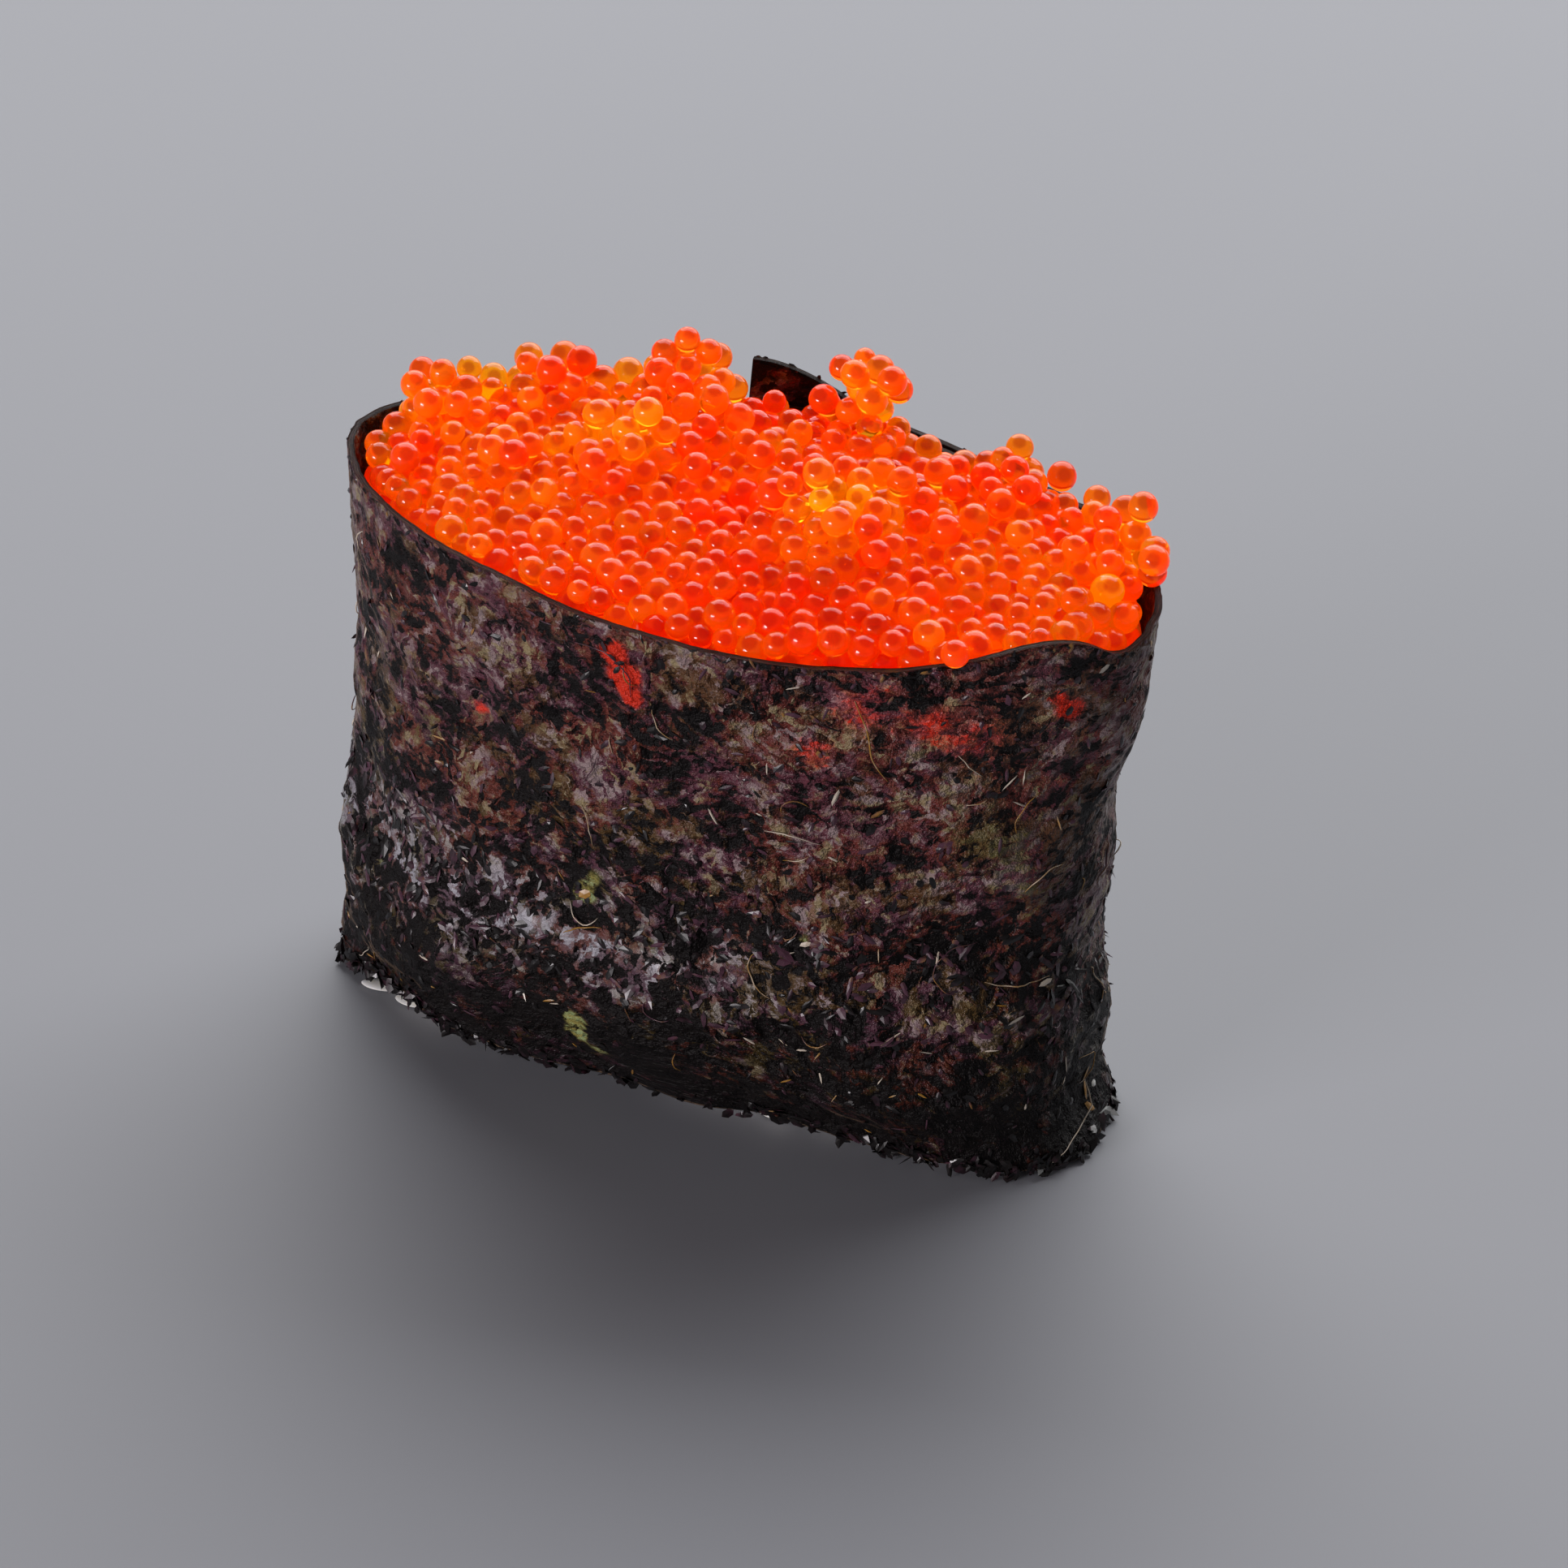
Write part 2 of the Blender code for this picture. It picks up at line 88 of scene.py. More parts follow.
# Rises and dips of the front rim, and lifts of the front hem: x, rise and run in mm
RIM_WAVES = ((-12.0, 0.2, 6.0), (8.0, -0.6, 8.0), (21.3, 1.1, 3.0), (25.2, -1.2, 1.2))
HEM_LIFTS = ((-19.8, 1.5, 4.2), (6.9, 0.7, 3.2), (18.3, 0.3, 3.0))
HEM_GAP = 0.35 * MM
HEM_ARCH = 0.6 * MM

# Crumples of the whole wall, and level tucks in its lower third
CRUMPLE_SEED = 7
CRUMPLE_COUNT = 14
CRUMPLE_DEPTH = 0.11 * MM
CRUMPLE_SPAN = (7.0 * MM, 15.0 * MM)
TUCK_DEPTH = 0.32 * MM
TUCK_SPAN = 6.8 * MM
TUCK_TOP = 13.0 * MM

# The heap of roe over the rim
FRONT_LEVEL = 0.4 * MM
BACK_LEVEL = 1.3 * MM
DOME = 1.5 * MM
TIP_DROP = 1.8 * MM
TIP_RUN = 4.0 * MM

# How far past the filling's side a loose egg's middle may lie: the middle of the rim
RIM_ROOM = 0.6 * MM

# The eggs, in shares of an egg: spread and limits of their sizes, and how far they stand out of the heap
EGG_SPREAD = 0.09
EGG_LIMITS = (0.80, 1.17)
STAND_OUT = (-0.30, 0.20)

# Settling: rounds, and the share of an overlap that a round takes away
SETTLE_ROUNDS = 90
EASE_APART = 0.32

# Loose eggs: how often they roll, how far each time and how far they sink in, in shares of an egg
DRIFT_ROLLS = 12
ROLL_STEP = 0.1
SINK_IN = 0.08
RIM_BEAD = 0.1

# An egg is loose where it stands this proud, or lies behind, past this share of the rim's oval
PROUD_BY = 0.3 * MM
RIM_OVAL = (25 * MM, 13.6 * MM)
EDGE_FROM = 0.74

# How deep under the heap's surface the roe's core lies, as a share of the layer of eggs, and its bumps
CORE_DEPTH = 0.62
CORE_BUMPS = 0.9

# Points round the wall where the eggs meet it, and round the cores of roe and rice
RING_COUNT = 360
CORE_COUNT = 120

# Lumps and hollows of the heap, in mm: x, y, height and radius
LUMPS = (
    (-9.0, 11.8, 1.7, 3.0),
    (-16.0, 8.5, 1.6, 4.8),
    (-22.4, 4.2, 1.9, 2.6),
    (-8.5, 1.0, 1.1, 3.2),
    (5.7, -1.2, 1.5, 3.4),
    (-0.8, -0.4, -2.0, 2.4),
    (-2.2, 12.0, -0.5, 2.6),
    (2.8, 12.4, 1.3, 2.2),
    (15.4, 8.0, 1.1, 2.8),
    (10.8, 11.2, -0.9, 2.0),
    (20.5, 5.8, 1.2, 2.6),
)

# Drifts of loose eggs dropped on the heap, in mm: x, y, spread along x and y, and how many
DRIFTS = (
    (-9.0, 11.0, 0.9, 0.5, 9),
    (-16.0, 7.6, 2.4, 0.8, 6),
    (-22.9, 3.4, 1.1, 1.1, 5),
    (-8.5, 1.5, 2.2, 1.4, 10),
    (5.7, -0.8, 2.0, 1.4, 12),
    (2.6, 12.0, 0.6, 0.45, 13),
    (15.2, 8.0, 2.2, 0.9, 9),
    (21.4, 5.0, 1.0, 1.0, 9),
    (-4.0, 6.5, 3.4, 2.0, 10),
    (10.0, 3.0, 3.4, 2.4, 12),
    (-14.0, -1.0, 3.4, 1.6, 9),
)

# Single eggs that lie over the rim, in mm: x and y
STRAYS = (
    (17.3, -10.5),
    (21.2, 7.4),
    (22.7, 5.9),
    (18.8, 9.1),
    (13.1, 11.7),
    (24.4, 3.5),
    (24.9, 1.8),
)

# The side of each egg that holds its painted dark spot, a painted shade that stands in for the darker
# refracted image under its highlight
DARK_SPOT_DIRECTION = (0.20, -0.55, 0.80)

# The rice's top, and the bottom of its core
RICE_TOP = 21.0 * MM
RICE_CORE_BOTTOM = 1.1 * MM

# The wrap's own map: metres of sheet to one unit, and how far above the outer face the inner one lies
MAP_UNIT = 0.2
INNER_MAP_SHIFT = 50.0 * MM


# Settings


def length_setting(name, text, default, low, high):
    """A setting for a length, given here in mm."""
    values = {"default": default * MM, "min": low * MM, "max": high * MM}
    return FloatProperty(name=name, description=text, precision=5, unit="LENGTH", **values)


def colour_setting(name, text, default):
    """A setting for a colour."""
    return FloatVectorProperty(
        name=name, description=text, default=default, size=3, min=0.0, max=1.0, subtype="COLOR"
    )


def power_setting(name, text, default):
    """A setting for the power of a light."""
    return FloatProperty(name=name, description=text, default=default, min=0.0, unit="POWER")


class GunkanWrapSettings(PropertyGroup):
    """Sizes and colours of the seaweed wrap."""

    sheet: length_setting("Sheet thickness", "Thickness of the damp seaweed", 0.4, 0.1, 1.0)
    step: length_setting("Mesh step", "Spacing of the wrap's corners along the strip", 0.38, 0.2, 2.0)
    pucker: length_setting("Pucker depth", "Depth of the sheet's puckers and creases", 0.2, 0.0, 0.5)
    dark: colour_setting("Ground colour", "Colour of the seaweed between its fibres", (0.003, 0.0015, 0.0015))
    purple: colour_setting("Purple", "Colour of the purple blades in the seaweed", (0.078, 0.028, 0.047))
    maroon: colour_setting("Maroon", "Colour of the red-brown blades in the seaweed", (0.120, 0.025, 0.014))
    olive: colour_setting("Olive", "Colour of the green-brown blades in the seaweed", (0.072, 0.046, 0.010))
    pale: colour_setting("Pale strokes", "Colour of the finest fibres", (0.30, 0.22, 0.22))


class GunkanShredSettings(PropertyGroup):
    """How many flakes and threads lie on the wrap."""

    flakes: IntProperty(name="Flakes", description="Number of flakes on the wall", default=1300, min=0)
    threads: IntProperty(name="Threads", description="Number of loose hairs", default=60, min=0)
    seed: IntProperty(name="Seed", description="Another seed scatters them another way", default=5)


class GunkanRoeSettings(PropertyGroup):
    """Sizes and colours of the fish roe."""

    egg: length_setting("Egg size", "Diameter of an egg", 1.78, 1.0, 4.0)
    depth: length_setting("Depth of eggs", "Thickness of the layer of separate eggs", 3.9, 1.0, 10.0)
    count: IntProperty(name="Eggs", description="Number of eggs in the heap", default=930, min=50, max=1400)
    seed: IntProperty(name="Seed", description="Another seed gives another heap", default=23)
    orange: colour_setting("Orange", "Colour of most eggs", (0.91, 0.385, 0.012))
    amber: colour_setting("Amber", "Colour of the palest eggs", (0.92, 0.62, 0.016))
    red: colour_setting("Red", "Colour of the deepest eggs", (0.90, 0.16, 0.006))


class GunkanRiceSettings(PropertyGroup):
    """Size and colour of the rice."""

    length: length_setting("Grain length", "Length of a cooked grain", 5.2, 3.0, 9.0)
    seed: IntProperty(name="Seed", description="Another seed lays the grains another way", default=11)
    colour: colour_setting("Rice", "Colour of the cooked rice", (0.80, 0.78, 0.70))


class GunkanStageSettings(PropertyGroup):
    """The floor and the lights."""

    floor: colour_setting("Floor", "Colour of the plain floor", (0.265, 0.272, 0.302))
    back: power_setting("Back light", "Power of the wide light behind", 11.0)
    front: power_setting("Front light", "Power of the light in front", 3.3)


# Meshes


def add_object(name, data):
    """A new object in the scene."""
    made = bpy.data.objects.new(name, data)
    bpy.context.scene.collection.objects.link(made)
    return made


def mesh_of(name, corners, faces, material):
    """A smooth mesh object of one material, from corners and faces."""
    mesh = bpy.data.meshes.new(name)
    mesh.from_pydata([tuple(p) for p in corners], [], [tuple(int(i) for i in face) for face in faces])
    mesh.update()
    mesh.shade_smooth()
    mesh.materials.append(material)
    return add_object(name, mesh)


def repeat_shape(corners, faces, places):
    """One shape put at many places: each place is a 4x4 matrix."""
    matrices = np.array([np.array(place) for place in places])
    moved = np.einsum("nij,vj->nvi", matrices[:, :3, :3], corners) + matrices[:, None, :3, 3]
    offsets = np.arange(len(places))[:, None, None] * len(corners)
    return moved.reshape(-1, 3), (faces[None] + offsets).reshape(-1, faces.shape[1])


def placed(at, turn, size):
    """A matrix that sizes a shape along its own axes, turns it and puts it at a place."""
    return Matrix.Translation(Vector(at)) @ Euler(turn).to_matrix().to_4x4() @ Matrix.Diagonal((*size, 1.0))


def ball_shape(subdivisions):
    """Corners and triangles of a ball of diameter 1."""
    bm = bmesh.new()
    bmesh.ops.create_icosphere(bm, subdivisions=subdivisions, radius=0.5)
    bm.verts.index_update()
    corners = np.array([v.co for v in bm.verts])
    faces = np.array([[v.index for v in face.verts] for face in bm.faces])
    bm.free()
    return corners, faces


def tube_faces(rows, across):
    """Quads round a tube of so many rings, with a lid on each end."""
    index = np.arange(rows * across).reshape(rows, across)
    onward = np.roll(index, -1, axis=1)
    quads = np.stack([index[:-1], onward[:-1], onward[1:], index[1:]], axis=-1).reshape(-1, 4)
    return [*quads, index[0][::-1], index[-1]]


def round_angles(count):
    """Angles evenly round a circle."""
    return np.linspace(0, 2 * math.pi, count + 1)[:-1]


def unit(vectors):
    """The same directions with length 1."""
    return vectors / np.linalg.norm(vectors, axis=1)[:, None]


def add_values(piece, name, values):
    """Stores one number for each corner of a piece."""
    layer = piece.data.attributes.new(name, "FLOAT", "POINT")
    layer.data.foreach_set("value", np.asarray(values, dtype=np.float32))


def eased(share):
    """0 to 1 with a soft start and end."""
    share = np.clip(share, 0.0, 1.0)
    return share * share * (3.0 - 2.0 * share)


# The wall that wrap and filling follow


def wall_stations(heights):
    """Reach left and right, half width and squareness at each height, on a smooth curve through WALL."""
    heights = np.clip(heights, WALL[0, 0], WALL[-1, 0])
    slopes = np.gradient(WALL[:, 1:], WALL[:, 0], axis=0)
    k = np.clip(np.searchsorted(WALL[:, 0], heights, side="right") - 1, 0, len(WALL) - 2)
    run = (WALL[k + 1, 0] - WALL[k, 0])[:, None]
    s = (heights - WALL[k, 0])[:, None] / run
    near = WALL[k, 1:] * (1 + 2 * s) * (1 - s) ** 2 + slopes[k] * run * s * (1 - s) ** 2
    far = WALL[k + 1, 1:] * s * s * (3 - 2 * s) + slopes[k + 1] * run * s * s * (s - 1)
    return near + far


def outline_at(height):
    """Reach left and right, half width and squareness at one height."""
    return wall_stations(np.array([height]))[0]


def oval_points(stations, angles):
    """Points of superellipses whose two ends reach out unequally."""
    left, right, half_width, squareness = stations.T
    c, s = np.cos(angles), np.sin(angles)
    x = np.where(c > 0, right, left) * np.sign(c) * np.abs(c) ** (2 / squareness)
    y = half_width * np.sign(s) * np.abs(s) ** (2 / squareness)
    return np.stack([x, y], axis=1)


def make_crumples():
    """Directions and phases of the waves that crumple the wall."""
    draw = np.random.default_rng(CRUMPLE_SEED)
    waves = []
    for _ in range(CRUMPLE_COUNT):
        direction = draw.normal(size=3)
        direction /= np.linalg.norm(direction)
        span = draw.uniform(*CRUMPLE_SPAN)
        waves.append((direction * (2 * math.pi / span), draw.uniform(0, 2 * math.pi)))
    return waves


CRUMPLES = make_crumples()


def crumple(points):
    """How far the wall is pushed out at each point: loose waves, and level tucks in its lower third."""
    height = points[:, 2]
    push = sum(CRUMPLE_DEPTH * np.cos(points @ wave + phase) for wave, phase in CRUMPLES)
    push = push * (1.0 - 0.6 * eased((height - 0.55 * BAND_HEIGHT) / (0.3 * BAND_HEIGHT)))
    bend = 1.3 * np.sin(points[:, 0] / (6 * MM)) + 0.9 * np.cos(points[:, 1] / (5 * MM))
    tucks = TUCK_DEPTH * (1.0 - eased(height / TUCK_TOP))
    return push + tucks * np.cos(2 * math.pi * height / TUCK_SPAN + bend)


def wall_points(angles, heights, insets=0.0):
    """Points of the wrap's outer face, or inset inside it, before they are centred."""
    angles, heights = np.broadcast_arrays(np.asarray(angles, float), np.asarray(heights, float))
    stations = wall_stations(heights)
    here = oval_points(stations, angles)
    step = 1e-3
    along = unit(oval_points(stations, angles + step) - oval_points(stations, angles - step))
    outward = np.stack([along[:, 1], -along[:, 0]], axis=1)
    push = crumple(np.column_stack([here, heights])) - insets
    return np.column_stack([here + outward * push[:, None], heights])


def strip_run():
    """Turn from the strip's outer end, and the length of strip up to it at mid height."""
    turned = np.linspace(0, STRIP_TURN, 2881)
    stations = wall_stations(np.full(len(turned), BAND_HEIGHT / 2))
    points = oval_points(stations, STRIP_END_ANGLE - turned)
    return turned, np.concatenate([[0], np.cumsum(np.linalg.norm(np.diff(points, axis=0), axis=1))])


TURNED, STRIP_LENGTHS = strip_run()


def length_at(turned):
    """Length of strip up to a turn."""
    return np.interp(turned, TURNED, STRIP_LENGTHS)


def turn_at(lengths):
    """Turn after a length of strip."""
    return np.interp(lengths, STRIP_LENGTHS, TURNED)


def waves_at(x, waves):
    """Sum of smooth humps along x, given in mm."""
    return MM * sum(rise * np.exp(-(((x / MM - at) / run) ** 2)) for at, rise, run in waves)


def hem_heights(angles):
    """Height of the wrap's lower edge above the board."""
    foot = wall_points(angles, 0.0)
    arch = HEM_ARCH * np.clip(1.0 - (foot[:, 0] / WALL[0, 1]) ** 2, 0, None)
    return HEM_GAP + np.where(foot[:, 1] < 0, arch + waves_at(foot[:, 0], HEM_LIFTS), 0.0)


def rim_heights(angles, lengths):
    """Height of the wrap's upper edge, at lengths of strip from its outer end."""
    brow = wall_points(angles, BAND_HEIGHT)
    waves = waves_at(brow[:, 0], RIM_WAVES) * eased(0.5 - brow[:, 1] / (5 * MM))
    return BAND_HEIGHT + waves + END_RISE * np.exp(-((lengths / END_RISE_RUN) ** 2))


def layer_insets(turned, sheet):
    """How far the strip has moved in after turning this far, so that it passes under its outer end."""
    return (sheet + SHEET_GAP) * eased((turned - MOVE_IN_FROM) / MOVE_IN_TURN)


def filling_insets(angles, sheet):
    """Room that the filling leaves for the wrap."""
    back = (STRIP_END_ANGLE - angles) % (2 * math.pi)
    under = back < OVERLAP_ANGLE + INNER_END_ROOM
    return sheet + FILLING_GAP + np.where(under, sheet + SHEET_GAP, layer_insets(back, sheet))


def front_turn(x, height):
    """Turn of the strip at which the front wall passes a place x along the oval."""
    angles = np.linspace(-math.pi, 0, 400)
    points = wall_points(angles, height) + CENTRE
    return STRIP_END_ANGLE - float(np.interp(x, points[:, 0], angles))


def front_length(x, height):
    """Length of strip at a place x along the front wall."""
    return float(length_at(front_turn(x, height)))


# The wrap


def pucker(lengths, heights, depth):
    """Fine relief of the damp sheet: creases that run every way, and flat blades laid over each other."""
    out = np.empty(len(lengths))
    for i, (u, v) in enumerate(zip(lengths / MM, heights / MM)):
        bend = noise.noise((u * 0.16, v * 0.16, 3.1)) * 2.4
        low = noise.noise((u * 0.42 + bend, v * 0.42 - bend, 0.0))
        sharp = 1.0 - 2.2 * abs(noise.noise((u * 0.55 - bend, v * 0.75 + bend, 7.7)))
        fine = noise.noise((u * 1.3, v * 1.3, 1.7))
        out[i] = 0.75 * low + 0.55 * max(sharp, -0.6) + 0.3 * fine
    bulge = np.exp(-(((heights - 11 * MM) / (6 * MM)) ** 2))
    return depth * out * (1.0 + 0.9 * bulge)


def sheet_points(turned, heights, settings, inner=False):
    """Points on the outer or inner face of the puckered sheet."""
    relief = pucker(length_at(turned), heights, settings.pucker)
    lapped = (turned < OVERLAP_ANGLE + 0.1) | (turned > 2 * math.pi - 0.1)
    relief *= np.where(lapped, 0.3, 1.0) * (0.6 if inner else 1.0)
    insets = layer_insets(turned, settings.sheet) + (settings.sheet if inner else 0.0)
    return wall_points(STRIP_END_ANGLE - turned, heights, insets - relief) + CENTRE


# Places where the roe shows red through thin seaweed: x, height and radius in mm, and strength
THIN_SPOTS = (
    (-2.1, 35.3, 1.0, 1.0),
    (-1.4, 34.0, 1.15, 1.0),
    (-0.9, 32.7, 0.8, 0.9),
    (23.1, 33.6, 0.8, 0.8),
    (22.6, 34.6, 0.5, 0.6),
    (16.3, 33.5, 1.6, 0.34),
    (13.0, 34.6, 2.2, 0.3),
    (19.0, 32.0, 2.4, 0.3),
    (-11.8, 27.5, 0.6, 0.45),
    (10.0, 31.0, 1.2, 0.3),
)

# Green and olive blades: x, height and radius in mm, and strength
GREEN_SPOTS = (
    (-4.4, 16.8, 1.0, 1.0),
    (-3.7, 18.1, 0.7, 0.9),
    (-4.9, 6.9, 1.0, 1.0),
    (-5.2, 5.4, 0.9, 1.0),
    (-3.8, 4.3, 0.7, 0.8),
    (9.8, 17.4, 0.5, 0.7),
    (-20.0, 12.0, 0.7, 0.6),
    (19.6, 25.1, 2.4, 0.46),
    (-1.0, 15.0, 1.6, 0.42),
    (-16.0, 24.0, 1.8, 0.35),
    (22.0, 20.0, 2.0, 0.4),
)


def spot_values(points, lengths, heights, spots):
    """Strength of the nearest spots at each corner of the wrap's outer face."""
    values = np.zeros(len(points))
    for x, height, radius, strength in spots:
        at = front_length(x * MM, height * MM)
        away = np.hypot(lengths - at, heights - height * MM) / (radius * MM)
        values = np.maximum(values, strength * (1.0 - eased((away - 0.3) / 1.3)))
    return values


def wrap_marks(outer, along, up):
    """Values stored on the sheet's outer face, each with the one value of its inner face; the shade value is
    painted shade, the damp band also carries painted sheen, and the redder top also carries painted light.
    """
    damp_and_sheen_band = np.exp(-(((up - 13.5 * MM) / (4.0 * MM)) ** 2))
    rosy_lit_right = eased(outer[:, 0] / (12 * MM)) * eased((up - 9 * MM) / (6 * MM))
    return {
        "thin_spot": (spot_values(outer, along, up, THIN_SPOTS), 0.0),
        "green_spot": (spot_values(outer, along, up, GREEN_SPOTS), 0.0),
        # A glossier coat in the damp band, which also carries painted sheen: more contrast and pale silver
        # strokes
        "moist": (damp_and_sheen_band * eased((16 * MM - outer[:, 0]) / (20 * MM)), 0.0),
        # Painted shade: darker towards the foot, where the wall tucks under the bulge, and on the whole inner
        # face
        "shade": (0.96 * (1.0 - eased((up - 5.0 * MM) / (8.0 * MM))), 0.4),
        # Painted light: the wall is made lighter towards the top and on the right, where it is also tinted
        # redder
        "rosy": (eased((up - 15 * MM) / (14 * MM)) + 0.6 * rosy_lit_right, 0.0),
    }


def sheet_faces(columns, rows):
    """Faces of a closed sheet: its outer side, its inner side and its edge."""
    count = columns * rows
    index = np.arange(count).reshape(columns, rows)
    quads = np.stack([index[:-1, :-1], index[:-1, 1:], index[1:, 1:], index[1:, :-1]], axis=-1).reshape(-1, 4)
    border = np.concatenate([index[:, 0], index[-1, 1:], index[-2::-1, -1], index[0, -2:0:-1]])
    onward = np.roll(border, -1)
    edge = np.column_stack([border, onward, onward + count, border + count])
    return np.concatenate([quads, quads[:, ::-1] + count, edge])


def build_wrap(settings):
    """The seaweed strip as one closed sheet, finely puckered."""
    count = int(STRIP_LENGTHS[-1] / settings.step)
    lengths = np.linspace(0, STRIP_LENGTHS[-1], count + 1)
    turned = turn_at(lengths)
    share = np.linspace(0, 1, int(BAND_HEIGHT / settings.step) + 1)
    rows = len(share)
    low = hem_heights(STRIP_END_ANGLE - turned)
    high = rim_heights(STRIP_END_ANGLE - turned, lengths)
    up = (low[:, None] + (high - low)[:, None] * share).ravel()
    along = np.repeat(lengths, rows)
    outer = sheet_points(np.repeat(turned, rows), up, settings)
    inner = sheet_points(np.repeat(turned, rows), up, settings, inner=True)
    faces = sheet_faces(count + 1, rows)
    piece = mesh_of("seaweed_wrap", np.concatenate([outer, inner]), faces, wrap_material(settings))
    lay_map(piece, along, up, len(outer))
    for name, (values, inside) in wrap_marks(outer, along, up).items():
        add_values(piece, name, np.concatenate([values, np.full(len(inner), inside)]))
    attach(piece, "root")
    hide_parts("seaweed")


def lay_map(piece, along, up, inner_from):
    """Maps the sheet flat: along and up the strip, with its inner face above its outer one."""
    layer = piece.data.uv_layers.new(name="strip")
    corner = np.empty(len(piece.data.loops), dtype=np.int64)
    piece.data.loops.foreach_get("vertex_index", corner)
    is_inner = corner >= inner_from
    place = corner - np.where(is_inner, inner_from, 0)
    u = along[place] / MAP_UNIT
    v = (up[place] + np.where(is_inner, INNER_MAP_SHIFT, 0.0)) / MAP_UNIT
    layer.data.foreach_set("uv", np.column_stack([u, v]).astype(np.float32).ravel())


# Flakes and threads on the wrap


class Scatter(NamedTuple):
    """A kind of flake: where its heights count from, its share of the number set, sizes in mm and degrees."""

    start: str
    share: float
    heights: tuple
    length: tuple
    width: tuple
    tilt: float
    lean: float
    palest: float


SCATTERS = (
    Scatter("wall", 1.0, (1.0, 36.5), (0.4, 1.2), (0.2, 0.5), tilt=14, lean=0, palest=0.45),
    Scatter("wall", 0.5, (10.0, 18.0), (0.6, 1.7), (0.25, 0.6), tilt=12, lean=14, palest=0.4),
    Scatter("wall", 0.12, (1.0, 36.5), (0.4, 1.5), (0.08, 0.16), tilt=8, lean=0, palest=1.3),
    Scatter("wall", 0.10, (0.8, 10.0), (0.4, 1.4), (0.08, 0.2), tilt=14, lean=5, palest=2.2),
    Scatter("hem", 0.55, (-0.4, 0.9), (0.5, 1.6), (0.3, 0.8), tilt=22, lean=0, palest=0.45),
    Scatter("rim", 0.12, (-0.45, 0.0), (0.3, 0.8), (0.15, 0.3), tilt=10, lean=0, palest=0.5),
)

# Thickness of a flake, in mm
FLAKE_THICKNESS = 0.12

# Single flakes that catch the eye: x, height, length and width in mm, turn in degrees and tone
FLAKES = (
    (11.3, 28.0, 1.2, 0.3, 70, 0.95),
    (20.3, 28.9, 1.3, 0.14, 40, 1.0),
    (21.0, 27.2, 1.7, 0.13, -35, 0.95),
    (17.4, 10.2, 1.5, 0.14, -35, 1.0),
    (15.4, 11.4, 1.9, 0.12, 30, 0.85),
    (21.6, 12.0, 1.5, 0.35, 0, 1.0),
    (22.6, 13.6, 1.1, 0.4, 5, 1.0),
    (24.4, 36.0, 1.0, 0.5, 5, 1.0),
    (-4.3, 16.7, 0.9, 0.6, 30, 0.62),
    (10.0, 17.2, 0.8, 0.35, 20, 0.9),
    (-13.0, 16.0, 0.9, 0.3, -30, 0.95),
    (25.4, 3.0, 1.4, 0.5, 75, 0.6),
    (25.5, 4.2, 1.1, 0.5, 60, 0.6),
    (25.3, 1.8, 1.4, 0.5, -50, 0.62),
)

# Hairs that stand off the front: points of x and height in mm
HAIRS = (
    ((19.2, 17.4), (18.0, 17.2), (17.1, 16.3), (17.0, 15.2), (17.7, 14.4), (18.8, 14.0), (19.7, 13.2)),
    ((19.8, 14.7), (20.6, 14.3), (21.6, 14.2), (22.7, 13.9)),
    ((12.2, 34.9), (13.0, 33.0), (13.2, 31.0), (14.1, 29.2)),
    ((-4.9, 35.4), (-2.4, 35.6), (-0.9, 34.2), (-1.0, 32.6)),
    ((24.2, 0.8), (24.7, 1.8), (24.6, 3.0), (24.0, 3.9)),
    ((24.4, 3.6), (24.8, 4.6), (24.5, 5.8), (24.1, 6.2)),
)


def flake_shape():
    """Corners and triangles of a flat, ragged flake of length, width and thickness 1."""
    outline = ((0.5, 0.1), (0.15, 0.5), (-0.3, 0.4), (-0.5, -0.1), (-0.1, -0.5), (0.35, -0.35))
    corners = np.array([*((x, y, 0) for x, y in outline), (0, 0, 0.5), (0, 0, -0.5)])
    ring = np.arange(6)
    onward = (ring + 1) % 6
    top = np.column_stack([ring, onward, np.full(6, 6)])
    bottom = np.column_stack([onward, ring, np.full(6, 7)])
    return corners, np.concatenate([top, bottom])


def lay_on_sheet(turned, heights, lift, turns, sizes, wrap, lean=0.0):
    """Matrices that lay shapes on the wrap's outer face, each turned, tilted and sized, all with one lean."""
    here = sheet_points(turned, heights, wrap)
    along = unit(sheet_points(turned - 0.02, heights, wrap) - here)
    rise = sheet_points(turned, heights + 0.4 * MM, wrap) - here
    outward = unit(np.cross(along, rise))
    up = np.cross(outward, along)
    places = []
    for i, turn in enumerate(turns):
        axes = Matrix(np.column_stack([along[i], up[i], outward[i]]).tolist())
        turned_shape = Euler((-math.radians(lean), 0.0, 0.0)).to_matrix() @ Euler(turn).to_matrix()
        flat = axes @ turned_shape @ Matrix.Diagonal(sizes[i])
        places.append(Matrix.Translation(here[i] + outward[i] * lift) @ flat.to_4x4())
    return places


